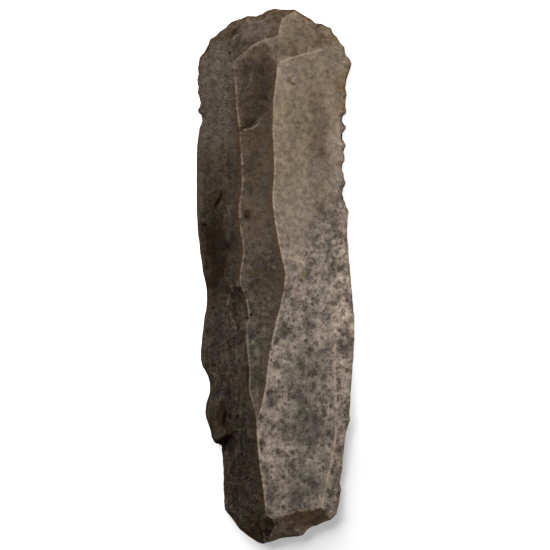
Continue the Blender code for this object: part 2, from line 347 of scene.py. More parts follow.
MARKS = (
    Mark((-11.6, 15.6), (2.1, 0.70), 62, 0.10, Cut.BOWL, Coat.BROWN),
    Mark((-11.9, 15.0), (1.3, 0.36), 58, 0.45, Cut.SLIT, Coat.DARK),
    Mark((-11.2, 16.4), (1.1, 0.22), 76, 0.30, Cut.SLIT, Coat.DARK),
    Mark((-11.1, 14.9), (0.7, 0.20), 50, 0.00, Cut.BOWL, Coat.PALE),
    Mark((-9.9, 13.5), (1.3, 0.60), -70, 0.20, Cut.CHIP, Coat.NONE),
    Mark((-9.6, 13.4), (1.2, 0.20), -78, 0.00, Cut.BOWL, Coat.PALE),
    Mark((-10.2, 12.4), (0.5, 0.18), 10, 0.00, Cut.BOWL, Coat.PALE),
    Mark((-14.6, 10.4), (0.55, 0.35), 20, 0.22, Cut.SLIT, Coat.DARK),
    Mark((-12.0, 10.1), (0.40, 0.25), 60, 0.14, Cut.BOWL, Coat.BROWN),
    Mark((-5.9, 12.3), (1.15, 0.75), 100, 0.06, Cut.BOWL, Coat.DULL),
    Mark((-6.0, 12.1), (0.55, 0.30), 100, 0.00, Cut.BOWL, Coat.DARK),
    Mark((-5.7, 12.6), (1.25, 0.85), 100, 0.00, Cut.BOWL, Coat.BROWN),
    Mark((2.9, 40.0), (0.60, 0.24), 100, 0.05, Cut.BOWL, Coat.BROWN),
    Mark((3.5, 40.7), (0.50, 0.22), 20, 0.05, Cut.BOWL, Coat.BROWN),
    Mark((3.6, 39.2), (0.60, 0.26), -10, 0.05, Cut.BOWL, Coat.BROWN),
    Mark((5.9, 0.2), (0.62, 0.42), 60, 0.05, Cut.BOWL, Coat.OLIVE),
    # Painted highlight: this mark's chalky coat.
    Mark((5.0, 20.6), (1.1, 0.30), 100, 0.00, Cut.BOWL, Coat.CHALKY),
    Mark((6.0, 18.0), (1.6, 0.35), 35, 0.00, Cut.BOWL, Coat.CHALKY),
    Mark((10.6, 41.9), (0.50, 0.32), 130, 0.05, Cut.BOWL, Coat.BROWN),
    Mark((4.6, 31.3), (0.40, 0.22), -20, 0.08, Cut.BOWL, Coat.BROWN),
    Mark((-5.0, -8.0), (0.35, 0.28), 0, 0.16, Cut.BOWL, Coat.DARK),
    Mark((-3.2, -7.0), (0.75, 0.14), -45, 0.08, Cut.SLIT, Coat.BROWN),
    Mark((-8.8, 49.9), (1.9, 0.75), 40, 0.25, Cut.CHIP, Coat.BROWN),
    Mark((-8.5, 50.0), (1.0, 0.42), 60, 0.10, Cut.BOWL, Coat.DULL),
    Mark((-9.3, 45.6), (0.30, 0.24), 30, 0.08, Cut.BOWL, Coat.DARK),
    # The coats of the next three marks are painted shade: beside the corner arris of the scraper end, and
    # the dark line and soft shadow of the step along the long arris near it.
    Mark((-8.0, 47.8), (2.6, 0.60), 62, 0.18, Cut.BOWL, Coat.DIM),
    Mark((-7.0, 45.5), (2.3, 0.22), 37, 0.14, Cut.SLIT, Coat.DULL),
    Mark((-5.4, 47.7), (1.5, 0.70), 40, 0.06, Cut.BOWL, Coat.DIM),
    Mark((-6.7, 45.0), (2.5, 0.50), 38, 0.00, Cut.BOWL, Coat.CHALKY),
    Mark((-2.0, 47.7), (2.9, 0.45), 17, 0.00, Cut.BOWL, Coat.CHALKY),
    Mark((-8.6, 43.2), (1.1, 0.90), 60, 0.00, Cut.BOWL, Coat.CHALKY),
    Mark((1.2, 50.8), (2.3, 0.50), 76, 0.00, Cut.BOWL, Coat.CHALKY),
    Mark((3.3, 53.2), (2.0, 0.45), 35, 0.00, Cut.BOWL, Coat.CHALKY),
    Mark((-5.7, -20.6), (2.3, 0.32), 90, 0.22, Cut.SLIT, Coat.DULL),
    Mark((-7.6, -10.7), (0.95, 0.24), 85, 0.16, Cut.SLIT, Coat.DARK),
    Mark((-10.9, -28.9), (1.9, 0.55), 84, 0.12, Cut.BOWL, Coat.BROWN),
    Mark((-10.5, -29.3), (1.7, 0.38), 82, 0.40, Cut.SLIT, Coat.DARK),
    Mark((-11.4, -30.2), (1.3, 0.20), 72, 0.16, Cut.SLIT, Coat.DULL),
    # The coats of the next four marks are painted shadow in the undercut below the lobe.
    Mark((-10.7, -33.9), (2.4, 0.85), 38, 0.60, Cut.BOWL, Coat.DARK),
    Mark((-11.9, -34.7), (0.8, 0.60), 20, 0.05, Cut.BOWL, Coat.DARK),
    Mark((-9.9, -34.3), (1.6, 0.80), 60, 0.12, Cut.BOWL, Coat.DULL),
    Mark((-12.2, -34.0), (0.9, 0.40), 30, 0.15, Cut.BOWL, Coat.DULL),
    Mark((-9.3, -28.8), (0.60, 0.30), 80, 0.16, Cut.SLIT, Coat.DARK),
    Mark((-7.8, -28.8), (0.60, 0.28), 72, 0.16, Cut.SLIT, Coat.DARK),
    Mark((-6.9, -36.6), (0.32, 0.24), 80, 0.08, Cut.BOWL, Coat.DARK),
    Mark((-5.2, -36.1), (0.40, 0.24), 60, 0.06, Cut.BOWL, Coat.BROWN),
    Mark((-2.0, 36.3), (0.36, 0.30), 0, 0.08, Cut.BOWL, Coat.DARK),
    Mark((-3.3, 39.0), (0.38, 0.32), 0, 0.05, Cut.BOWL, Coat.BROWN),
    Mark((14.5, -3.2), (0.95, 0.35), 10, 0.10, Cut.CHIP, Coat.NONE),
    # The dents of the next four marks are ripples above the hinge step; their dim and dull coats are
    # painted shade in them.
    Mark((-3.4, 36.4), (2.8, 0.75), 4, 0.05, Cut.BOWL, Coat.DIM),
    Mark((-4.0, 34.0), (2.8, 0.70), 12, 0.05, Cut.BOWL, Coat.DIM),
    Mark((-5.2, 31.2), (2.0, 0.75), 12, 0.05, Cut.BOWL, Coat.DIM),
    Mark((-6.0, 30.4), (1.5, 0.30), 8, 0.04, Cut.BOWL, Coat.DULL),
    Mark((11.2, -38.5), (8.0, 0.55), 80, 0.00, Cut.BOWL, Coat.CHALKY),
    Mark((-1.7, -49.0), (1.1, 0.60), 115, 0.00, Cut.BOWL, Coat.CHALKY),
    Mark((-13.9, 46.6), (0.9, 0.35), 66, 0.04, Cut.BOWL, Coat.BROWN),
)


class Side(Enum):
    """A side of the outline: the direction on the plan that it faces."""

    LEFT = (-1, 0)
    RIGHT = (1, 0)
    BUTT = (0, -1)

    def holds(self, plan: np.ndarray) -> np.ndarray:
        """Which places on the plan, in millimetres, lie on this side."""
        return plan @ np.array(self.value) > (BUTT_FROM if self is Side.BUTT else 0.0)


@dataclass(frozen=True)
class Stretch:
    """A stretch of the outline and how strongly it was worked.

    side is the edge, or None for both. The places along the blade are in millimetres from its middle.
    """

    side: Side | None
    low: float
    high: float
    strength: float


WORKED = (
    Stretch(None, 42.0, 60.0, 1.0),
    Stretch(Side.RIGHT, 12.0, 42.0, 0.8),
    Stretch(Side.LEFT, 28.0, 42.0, 0.6),
    Stretch(Side.LEFT, -46.0, 28.0, 0.3),
    Stretch(Side.LEFT, -46.0, -31.0, 0.65),
    Stretch(Side.RIGHT, -46.0, 12.0, 0.45),
    Stretch(Side.RIGHT, -46.0, -28.0, 0.75),
    Stretch(None, -60.0, -46.0, 0.25),
)


@dataclass(frozen=True)
class Bite:
    """A notch struck out of an edge, in millimetres, at a place along that edge from the blade's middle."""

    side: Side
    place: float
    half: float
    depth: float

    def share(self, plan: np.ndarray) -> np.ndarray:
        """How deep the notch is along its edge.

        Args:
            plan: Places on the plan, in millimetres.

        Returns:
            The share of the notch's depth at each place, 0 past its ends.
        """
        along = (plan @ np.abs(self.side.value[::-1]) - self.place) / self.half
        return np.clip(1.0 - along**2, 0.0, 1.0) * self.side.holds(plan)


BITES = (
    Bite(Side.RIGHT, 32.0, 1.3, 0.60),
    Bite(Side.RIGHT, 28.5, 1.5, 0.50),
    Bite(Side.RIGHT, 25.2, 1.5, 0.30),
    Bite(Side.RIGHT, 22.2, 1.4, 0.32),
    Bite(Side.RIGHT, 16.8, 1.6, 0.42),
    Bite(Side.LEFT, 35.3, 1.2, 0.42),
    Bite(Side.LEFT, 31.9, 1.5, 0.45),
    Bite(Side.LEFT, -35.2, 1.0, 0.60),
    Bite(Side.BUTT, 8.6, 3.9, 0.42),
    Bite(Side.BUTT, 7.2, 1.3, 0.30),
)


@dataclass(frozen=True)
class Drawn:
    """A pale line too blunt to be an arris of the solid, partly wear, partly painted highlight: its
    strength and its corners in millimetres.
    """

    strength: float
    corners: tuple[tuple[float, float], ...]


DRAWN = (
    Drawn(0.76, (
        (12.6, -7.0), (12.5, -10.1), (12.1, -15.5), (12.0, -17.7), (12.3, -25.5), (12.6, -29.9),
        (11.4, -38.0), (9.9, -44.1), (9.5, -47.4),
    )),
    Drawn(0.80, ((-7.3, -1.5), (-8.7, -2.5), (-9.55, -4.2), (-9.9, -5.8), (-9.55, -7.9), (-8.8, -9.2))),
    Drawn(0.55, ((-6.1, -10.4), (-8.3, -11.6), (-11.2, -13.9), (-14.3, -15.3))),
    Drawn(0.60, ((0.3, 48.9), (-1.4, 47.6), (-1.7, 46.2), (-0.7, 45.0), (0.5, 43.9))),
)


@dataclass(frozen=True)
class Weakened:
    """A round patch, in millimetres, where the arrises' pale lines, painted shade and chips fade, and the
    share left.
    """

    at: tuple[float, float]
    reach: float
    left: float

    def share(self, x: float, y: float) -> float:
        """The share of a line's strength that is left at a place."""
        near = min(1.0, max(0.0, WEAKENED_RIM - math.hypot(x - self.at[0], y - self.at[1]) / self.reach))
        return 1.0 - near * (1.0 - self.left)


WEAKENED = (
    Weakened((-8.9, 42.8), 2.6, 0.05),
    Weakened((-7.8, 48.6), 2.6, 0.15),
    Weakened((-10.4, 45.6), 1.2, 0.0),
    Weakened((-1.6, 33.0), 2.6, 0.05),
    Weakened((1.4, 49.0), 0.9, 0.2),
    Weakened((0.5, 46.2), 1.9, 0.1),
    Weakened((5.0, -48.0), 4.0, 0.55),
    Weakened((11.0, 46.8), 3.0, 0.6),
    Weakened((-3.0, -50.5), 1.6, 0.3),
)


class Outline:
    """The closed edge of the blade on the plan, as closely spaced samples."""

    samples_per_side = 12

    def __init__(self, mesh: bmesh.types.BMesh, level: float) -> None:
        """Walks the upper rim of the narrow band between the two faces.

        Args:
            mesh: The merged solid.
            level: How far from level a face's normal may be for the face to belong to the band.
        """
        corners = self.walk(mesh, level)
        following = np.roll(corners, -1, axis=0)
        chords = following - corners
        lengths = np.linalg.norm(chords, axis=1)
        starts = np.concatenate([[0.0], np.cumsum(lengths)[:-1]])
        shares = np.arange(self.samples_per_side) / self.samples_per_side
        self.points = (corners[:, None] + shares[None, :, None] * chords[:, None]).reshape(-1, 2)
        self.run = (starts[:, None] + shares[None, :] * lengths[:, None]).ravel()
        inwards = np.column_stack([-chords[:, 1], chords[:, 0]]) / lengths[:, None]
        if np.sum(inwards * corners) > 0.0:
            inwards = -inwards
        inwards = np.repeat(inwards, self.samples_per_side, axis=0)
        for _ in range(2 * self.samples_per_side):
            inwards = (np.roll(inwards, 1, axis=0) + 2 * inwards + np.roll(inwards, -1, axis=0)) / 4
        self.inwards = inwards / np.linalg.norm(inwards, axis=1)[:, None]
        self.finder = KDTree(len(self.points))
        for index, (x, y) in enumerate(self.points):
            self.finder.insert((x, y, 0.0), index)
        self.finder.balance()

    @staticmethod
    def walk(mesh: bmesh.types.BMesh, level: float) -> np.ndarray:
        """Follows the rim from corner to corner.

        Args:
            mesh: The merged solid.
            level: How far from level a face's normal may be for the face to belong to the band.

        Returns:
            The rim's corners in order, on the plan.
        """
        rim: dict[int, list[int]] = {}
        for edge in mesh.edges:
            heights = sorted(face.normal.z for face in edge.link_faces)
            if abs(heights[0]) < level < heights[1]:
                first, second = (vert.index for vert in edge.verts)
                rim.setdefault(first, []).append(second)
                rim.setdefault(second, []).append(first)
        start = min(rim)
        order = [start]
        previous, here = start, rim[start][0]
        while here != start:
            order.append(here)
            ahead = rim[here][0] if rim[here][0] != previous else rim[here][1]
            previous, here = here, ahead
        mesh.verts.ensure_lookup_table()
        return np.array([mesh.verts[index].co[:2] for index in order])

    def measure(self, points: np.ndarray) -> tuple[np.ndarray, np.ndarray, np.ndarray]:
        """Where points lie by the outline.

        Args:
            points: Places on the plan, in metres.

        Returns:
            Each one's distance from the outline, its place along it and the way inwards there.
        """
        found = [self.finder.find((x, y, 0.0)) for x, y in points]
        nearest = np.array([index for _, index, _ in found])
        away = np.array([gap for _, _, gap in found])
        return away, self.run[nearest], self.inwards[nearest]


def put(mesh: bpy.types.Mesh, name: str, values: np.ndarray) -> None:
    """Stores a number or a vector for each vertex, for the node trees to read.

    Args:
        mesh: The mesh.
        name: The name to store them under.
        values: One number or one vector for each vertex.
    """
    is_vector = values.ndim == 2
    layer = mesh.attributes.new(name, "FLOAT_VECTOR" if is_vector else "FLOAT", "POINT")
    layer.data.foreach_set("vector" if is_vector else "value", values.astype(np.float32).ravel())


def places(mesh: bpy.types.Mesh) -> np.ndarray:
    """Reads where the vertices are.

    Args:
        mesh: The mesh.

    Returns:
        The place of each vertex.
    """
    flat = np.empty(3 * len(mesh.vertices), np.float32)
    mesh.vertices.foreach_get("co", flat)
    return flat.reshape(-1, 3).astype(float)


class Lines:
    """A set of straight stretches on the back, seen on the plan, each with a strength."""

    spacing = 0.10 * MM
    reach = 3.0 * MM
    lean = 0.4

    def __init__(self) -> None:
        """Starts with none."""
        self.places: list[Vector] = []
        self.ways: list[Vector] = []
        self.strengths: list[float] = []

    def add(self, first: Vector, second: Vector, strength: float) -> None:
        """Adds a stretch, turned to run towards the scraper end.

        Args:
            first: One end.
            second: The other end.
            strength: From 0 to 1.
        """
        way = (second - first).to_2d()
        if way.y + self.lean * way.x < 0.0:
            way = -way
        count = max(1, round(way.length / self.spacing))
        for step in range(count + 1):
            place = first.lerp(second, step / count)
            self.places.append(Vector((place.x, place.y, 0.0)))
            self.ways.append(way.normalized())
            left = math.prod(patch.share(place.x / MM, place.y / MM) for patch in WEAKENED)
            self.strengths.append(strength * left)

    def draw(self, line: Drawn) -> None:
        """Adds a drawn line.

        Args:
            line: The line.
        """
        ends = [Vector((x * MM, y * MM)) for x, y in line.corners]
        for first, second in zip(ends, ends[1:]):
            self.add(first, second, line.strength)

    def note(self, mesh: bpy.types.Mesh, name: str) -> None:
        """Stores each vertex's distance from the nearest stretch, below 0 on its left, and its strength.

        Args:
            mesh: The mesh.
            name: The name of the distance. The strength's name has _held behind it.
        """
        finder = KDTree(len(self.places))
        for index, place in enumerate(self.places):
            finder.insert(place, index)
        finder.balance()
        points = places(mesh)
        gaps = np.full(len(points), self.reach)
        held = np.zeros(len(points))
        for i, (x, y, _) in enumerate(points):
            place, index, gap = finder.find((x, y, 0.0))
            if gap < self.reach:
                way = self.ways[index]
                side = way.x * (y - place.y) - way.y * (x - place.x)
                gaps[i] = math.copysign(gap, -side)
                held[i] = self.strengths[index]
        put(mesh, name, gaps)
        put(mesh, name + "_held", held)


def shaped_by_nodes(piece: bpy.types.Object, tree: bpy.types.NodeTree, values: dict[str, Number]) -> None:
    """Runs a geometry tree on a piece and keeps the result as its plain mesh.

    Args:
        piece: The object to shape.
        tree: The tree.
        values: The tree's inputs by name.
    """
    modifier = piece.modifiers.new(tree.name, "NODES")
    modifier.node_group = tree
    for item in tree.interface.items_tree:
        if item.in_out == "INPUT" and item.name in values:
            modifier[item.identifier] = values[item.name]
    keep_shape(piece)


def keep_shape(piece: bpy.types.Object) -> None:
    """Turns what a piece's modifiers make of it into its plain mesh, and removes them.

    Args:
        piece: The object.
    """
    graph = bpy.context.evaluated_depsgraph_get()
    shaped = bpy.data.meshes.new_from_object(
        piece.evaluated_get(graph), preserve_all_data_layers=True, depsgraph=graph
    )
    piece.modifiers.clear()
    before = piece.data
    piece.data = shaped
    bpy.data.meshes.remove(before)


class PointTree:
    """A geometry tree that moves points, with named inputs."""

    def __init__(self, name: str, lengths: tuple[str, ...], finish: bpy.types.Material) -> None:
        """Makes the tree with its inputs.

        Args:
            name: The tree's name.
            lengths: The names of its number inputs.
            finish: The material that it leaves on the mesh.
        """
        self.tree = bpy.data.node_groups.new(name, "GeometryNodeTree")
        face = self.tree.interface
        face.new_socket("Geometry", in_out="INPUT", socket_type="NodeSocketGeometry")
        for length in lengths:
            face.new_socket(length, in_out="INPUT", socket_type="NodeSocketFloat")
        face.new_socket("Seed", in_out="INPUT", socket_type="NodeSocketInt")
        face.new_socket("Geometry", in_out="OUTPUT", socket_type="NodeSocketGeometry")
        self.net = NodeNet(self.tree)
        self.given = self.net.add("NodeGroupInput")
        self.finish = finish

    def named(self, name: str, data_type: str = "FLOAT") -> Sock:
        """A value that was stored on the vertices."""
        return self.net.add("GeometryNodeInputNamedAttribute", {"data_type": data_type}, {"Name": name})[0]

    def close(self, offset: Sock, notes: dict[str, Sock] | None = None) -> bpy.types.NodeTree:
        """Moves the points and ends the tree.

        Args:
            offset: How far each point moves.
            notes: Values to store on the points first, by name.

        Returns:
            The tree.
        """
        net = self.net
        shape = self.given["Geometry"]
        for name, value in (notes or {}).items():
            sockets = {"Geometry": shape, "Name": name, "Value": value}
            shape = net.add("GeometryNodeStoreNamedAttribute", {"data_type": "FLOAT"}, sockets)[0]
        moved = net.add("GeometryNodeSetPosition", {}, {"Geometry": shape, "Offset": offset})
        plain = net.add("GeometryNodeRealizeInstances", {}, {"Geometry": moved[0]})
        sockets = {"Geometry": plain[0], "Material": self.finish}
        dressed = net.add("GeometryNodeSetMaterial", {}, sockets)
        net.add("NodeGroupOutput", {}, {"Geometry": dressed[0]})
        return self.tree


@dataclass(frozen=True)
class Retouch:
    """A row of small flake scars along the edge: their mean pitch, reach, depth and bite.

    Each scar's place in its cell, half length, strength and reach lie in a range. spare is how strong a
    scar has to be to bite into the outline, as far in as bite_reach times the reach, and crest_out and
    crest_in bound the band about its rim that is worn pale.
    """

    name: str
    pitch: float
    reach: float
    depth: float
    nibble: float
    seed: int
    spare: float = 0.5
    middles: tuple[float, float] = (0.25, 0.75)
    halves: tuple[float, float] = (0.45, 0.85)
    strengths: tuple[float, float] = (0.25, 1.0)
    reaches: tuple[float, float] = (0.5, 1.3)
    crest_out: tuple[float, float] = (-0.22, -0.02)
    crest_in: tuple[float, float] = (0.20, 0.02)
    bite_reach: float = 1.4

    def build(self, finish: bpy.types.Material) -> bpy.types.NodeTree:
        """Makes the tree that strikes the scars. Each cell of the outline's length holds one.

        Args:
            finish: The material that it leaves on the mesh.

        Returns:
            The tree.
        """
        made = PointTree(self.name, ("Pitch", "Reach", "Depth", "Nibble"), finish)
        net = made.net
        run = made.named("run")
        edge = made.named("edge")
        dent = None
        bite = None
        for step in (-1, 0, 1):
            hollow, notch = self.scar(made, run, edge, step)
            dent = hollow if dent is None else dent.above(hollow)
            bite = notch if bite is None else bite.above(notch)
        worked = made.named("worked")
        crest = dent.ramp(*self.crest_out) * dent.ramp(*self.crest_in) * worked * made.named("back")
        crest = crest.above(made.named("crest"))
        dent = dent.above(0.0)
        fade = edge.ramp(self.bite_reach * made.given["Reach"], 0.0)
        eaten = (bite * worked - self.spare) * fade * made.given["Nibble"]
        inset = net.scaled(made.named("inward", "FLOAT_VECTOR"), eaten)
        normal = net.add("GeometryNodeInputNormal")[0]
        struck = net.scaled(normal, -dent * worked * made.named("back") * made.given["Depth"])
        return made.close(net.joined(inset, struck), {"crest": crest})

    def scar(self, made: PointTree, run: Sock, edge: Sock, step: int) -> tuple[Sock, Sock]:
        """The scar of a cell near each point.

        Args:
            made: The tree.
            run: The place along the outline.
            edge: The distance from it.
            step: Which cell: 0 for the point's own, -1 and 1 for its neighbours.

        Returns:
            How hollow the scar is, less than 0 outside it, and how far along it bites into the outline.
        """
        pitch = made.given["Pitch"]
        cell = (run / pitch).floor() + step

        def chance(span: tuple[float, float], salt: int) -> Sock:
            """A random number of the cell in a range, another one for each salt."""
            sockets = {2: span[0], 3: span[1], "ID": cell, "Seed": made.given["Seed"] + salt}
            return made.net.add("FunctionNodeRandomValue", {"data_type": "FLOAT"}, sockets)[1]

        middle = (cell + chance(self.middles, 1)) * pitch
        along = (run - middle) / (pitch * chance(self.halves, 2))
        strength = chance(self.strengths, 3)
        into = edge / (made.given["Reach"] * chance(self.reaches, 4))
        hollow = (1.0 - along * along - into * into) * strength
        return hollow, (1.0 - along * along).above(0.0) * strength

    def strike(self, piece: bpy.types.Object, finish: bpy.types.Material) -> None:
        """Strikes the scars on a piece.

        Args:
            piece: The object.
            finish: Its material.
        """
        values = {
            "Pitch": self.pitch, "Reach": self.reach, "Depth": self.depth, "Nibble": self.nibble,
            "Seed": self.seed,
        }
        shaped_by_nodes(piece, self.build(finish), values)


@dataclass(frozen=True)
class Skin:
    """The weathered surface: swells, grain, streaks on the left facet and the flake face's ripples."""

    swell: float = 0.050 * MM
    grain: float = 0.016 * MM
    streak: float = 0.055 * MM
    ripple: float = 0.030 * MM
    wear: float = 0.060 * MM
    seed: int = 7
    ring_width: float = 4.2 * MM
    arris_reach: float = 0.35 * MM
    fibre: tuple[float, float, float] = (1.5, 0.16, 0.6)

    def build(self, finish: bpy.types.Material) -> bpy.types.NodeTree:
        """Makes the tree that raises and sinks the surface.

        Args:
            finish: The material that it leaves on the mesh.

        Returns:
            The tree.
        """
        made = PointTree("skin", ("Swell", "Grain", "Streak", "Ripple", "Wear"), finish)
        net = made.net
        place = net.scaled(net.add("GeometryNodeInputPosition")[0], 1.0 / MM)
        shift = net.add("ShaderNodeCombineXYZ", {}, {0: 13.7 * made.given["Seed"], 1: 5.1, 2: 9.3})[0]
        place = net.joined(place, shift)
        back = made.named("back")
        height = (net.noise(place, 0.28, 2.0) - 0.5) * 2.0 * made.given["Swell"]
        height = height + (net.noise(place, 1.3, 2.0) - 0.5) * 2.0 * made.given["Grain"]
        fibres = net.noise(net.times(place, self.fibre), 1.0, 2.0)
        height = height + (fibres - 0.5) * 2.0 * made.given["Streak"] * made.named("streaked")
        waves = (made.named("rings") / self.ring_width + net.noise(place, 0.15, 0.0)) * math.tau
        height = height + waves.sine() * made.given["Ripple"] * (1.0 - back)
        chips = net.noise(place, 0.9, 1.0).ramp(0.5, 0.7)
        near = net.maths("ABSOLUTE", made.named("arris"), 0.0).ramp(self.arris_reach, 0.0)
        height = height - chips * made.given["Wear"] * near * made.named("arris_held")
        normal = net.add("GeometryNodeInputNormal")[0]
        return made.close(net.scaled(normal, height * made.named("clear")))

    def lay(self, piece: bpy.types.Object, finish: bpy.types.Material) -> None:
        """Lays the skin on a piece.

        Args:
            piece: The object.
            finish: Its material.
        """
        values = {
            "Swell": self.swell, "Grain": self.grain, "Streak": self.streak, "Ripple": self.ripple,
            "Wear": self.wear, "Seed": self.seed,
        }
        shaped_by_nodes(piece, self.build(finish), values)


class Facet(Enum):
    """The facets that a patch may keep to."""

    ANY = "any"
    LEFT = "left"
    MIDDLE = "middle"
    RIGHT = "right"


@dataclass(frozen=True)
class Patch:
    """A soft patch of another tone, on the plan, in millimetres: its middle and its half sizes."""

    at: tuple[float, float]
    reach: tuple[float, float]
    tone: Tone
    strength: float
    facet: Facet = Facet.ANY


# The dark patches kept to the left and middle facets are partly the stone's tone and partly painted shade,
# as these facets lean away from the key light.
PATCHES = (
    Patch((-11.5, 21.0), (5.0, 9.0), Tone.BARK, 0.35, Facet.LEFT),
    Patch((-12.0, 3.0), (4.5, 13.0), Tone.BARK, 1.00, Facet.LEFT),
    Patch((-8.3, 0.0), (1.6, 5.0), Tone.ASH, 0.35, Facet.LEFT),
    Patch((-10.5, -14.0), (5.0, 4.0), Tone.BARK, 0.40, Facet.LEFT),
    Patch((-8.0, -5.6), (1.5, 3.2), Tone.BARK, 0.30, Facet.LEFT),
    Patch((-12.0, -7.0), (2.5, 4.0), Tone.ASH, 0.30, Facet.LEFT),
    Patch((-7.0, -36.0), (5.0, 16.0), Tone.BARK, 0.15, Facet.LEFT),
    Patch((-11.5, 7.0), (3.5, 3.5), Tone.UMBER, 0.30, Facet.LEFT),
    Patch((-12.0, -29.0), (2.5, 4.0), Tone.BARK, 0.30, Facet.LEFT),
    Patch((4.5, 32.0), (3.0, 4.0), Tone.DUSK, 0.22, Facet.RIGHT),
    Patch((-8.0, -43.0), (5.0, 6.0), Tone.BARK, 0.35, Facet.LEFT),
    Patch((-12.6, -27.5), (1.6, 3.0), Tone.ASH, 0.12, Facet.LEFT),
    Patch((-10.6, -29.5), (1.8, 3.5), Tone.BARK, 0.60, Facet.LEFT),
    Patch((-12.2, -31.0), (1.6, 1.8), Tone.BROWN, 0.60, Facet.LEFT),
    Patch((-12.4, -28.5), (1.9, 4.0), Tone.RUST, 0.40, Facet.LEFT),
    Patch((-9.5, -21.5), (5.0, 3.5), Tone.BARK, 0.22, Facet.LEFT),
    # Painted shadow in the undercut below the lobe.
    Patch((-9.9, -34.8), (2.0, 1.7), Tone.UMBER, 0.90, Facet.LEFT),
    Patch((-2.5, -46.8), (1.2, 3.6), Tone.OCHRE, 0.55, Facet.LEFT),
    Patch((-13.0, 36.0), (5.0, 11.0), Tone.ASH, 0.68, Facet.LEFT),
    Patch((-2.8, 36.0), (5.0, 10.0), Tone.BROWN, 0.80, Facet.MIDDLE),
    Patch((-3.0, 40.0), (3.2, 4.5), Tone.BARK, 0.90, Facet.MIDDLE),
    # Painted shade right above the hinge step's lip.
    Patch((-4.8, 31.6), (2.8, 1.0), Tone.BARK, 0.55, Facet.MIDDLE),
    Patch((-2.2, 0.0), (3.5, 5.0), Tone.BROWN, 0.85, Facet.MIDDLE),
    Patch((-4.5, 24.0), (2.0, 7.0), Tone.BROWN, 0.40, Facet.MIDDLE),
    Patch((-1.7, 18.0), (1.5, 4.5), Tone.SLATE, 0.35, Facet.MIDDLE),
    Patch((-6.0, 27.0), (1.5, 3.0), Tone.AMBER, 0.35, Facet.MIDDLE),
    Patch((-4.0, 3.4), (1.6, 2.0), Tone.SLATE, 0.45, Facet.MIDDLE),
    Patch((-5.0, -1.5), (1.2, 1.4), Tone.SLATE, 0.45, Facet.MIDDLE),
    Patch((-4.6, -15.0), (1.4, 5.0), Tone.PALE, 0.60, Facet.MIDDLE),
    Patch((-2.6, -16.8), (0.9, 2.6), Tone.SLATE, 0.45, Facet.MIDDLE),
    # Painted light on a bit of the middle facet that leans away from the key light.
    Patch((-0.6, 46.4), (1.3, 2.2), Tone.BEIGE, 0.80, Facet.MIDDLE),
    Patch((8.6, 30.0), (1.9, 11.0), Tone.BROWN, 0.55, Facet.RIGHT),
    Patch((13.4, 37.0), (1.3, 5.0), Tone.AMBER, 0.55, Facet.RIGHT),
    Patch((8.0, 21.0), (2.0, 3.0), Tone.ROSE, 0.40, Facet.RIGHT),
    Patch((9.2, 7.0), (2.6, 8.0), Tone.SLATE, 0.12, Facet.RIGHT),
    Patch((14.0, -8.0), (2.4, 15.0), Tone.BONE, 0.65, Facet.RIGHT),
    Patch((14.0, 9.5), (3.2, 5.0), Tone.BONE, 0.40, Facet.RIGHT),
    Patch((13.0, 25.0), (2.4, 6.0), Tone.ROSE, 0.50, Facet.RIGHT),
    Patch((6.0, 2.0), (3.5, 5.0), Tone.BONE, 0.35, Facet.RIGHT),
    Patch((6.0, 11.0), (4.0, 4.5), Tone.SLATE, 0.14, Facet.RIGHT),
    Patch((4.0, -2.0), (2.6, 3.2), Tone.ROSE, 0.60, Facet.RIGHT),
    Patch((2.4, 41.0), (3.0, 3.0), Tone.ROSE, 0.45, Facet.RIGHT),
    Patch((6.5, -20.0), (5.0, 6.0), Tone.SLATE, 0.45, Facet.RIGHT),
    Patch((5.5, -31.0), (5.0, 5.5), Tone.SLATE, 0.80, Facet.RIGHT),
    Patch((5.5, -42.5), (5.0, 4.5), Tone.SLATE, 0.65, Facet.RIGHT),
    Patch((0.6, -36.0), (2.2, 15.0), Tone.ROSE, 0.45, Facet.RIGHT),
    Patch((6.0, -49.3), (5.5, 2.2), Tone.RUST, 0.60),
    Patch((-1.6, -50.2), (2.0, 2.6), Tone.BROWN, 0.60),
    Patch((2.6, -50.0), (3.0, 1.6), Tone.BROWN, 0.40),
    Patch((-3.6, -50.8), (2.4, 2.0), Tone.AMBER, 0.35),
    Patch((9.5, -48.4), (2.6, 1.6), Tone.BARK, 0.45),
    Patch((2.6, -51.9), (3.4, 1.3), Tone.ROSE, 0.40),
    # Painted shade along the lower rim of the scraper end's right scar.
    Patch((2.2, 46.2), (3.0, 1.8), Tone.BROWN, 0.45),
    Patch((5.5, 49.5), (6.0, 3.6), Tone.BROWN, 0.25),
    Patch((10.3, 47.6), (2.4, 1.6), Tone.BROWN, 0.60),
    Patch((-3.6, 50.6), (4.6, 2.6), Tone.ROSE, 0.42),
    # Painted shadow beside the step of the long arris near the scraper end.
    Patch((-5.2, 46.9), (2.0, 1.0), Tone.BARK, 0.40),
)


@dataclass(frozen=True)
class Dots:
    """A kind of scattered soft dot, in millimetres.

    spacing is the size of the cells that hold a dot or none, size the largest radius of a dot, and shift
    moves the cells, so that two kinds don't share their places.
    """

    tone: Tone
    spacing: float
    size: float
    shift: tuple[float, float, float] = (0.0, 0.0, 0.0)

    def build(self, net: NodeNet, place: Sock, presence: Sock | float) -> Sock:
        """Scatters the dots.

        Args:
            net: The tree.
            place: The place in millimetres.
            presence: The share of the cells that hold a dot.

        Returns:
            1 in a dot and 0 outside.
        """
        moved = net.joined(place, self.shift)
        cells = net.add("ShaderNodeTexVoronoi", {}, {"Vector": moved, "Scale": 1.0 / self.spacing})
        parts = net.add("ShaderNodeSeparateColor", {}, {0: cells["Color"]})
        radius = (0.5 + 0.5 * parts[1]) * (self.size / self.spacing)
        inside = (cells["Distance"] / radius).ramp(1.30, 0.10)
        return inside * net.maths("LESS_THAN", parts[0], presence)


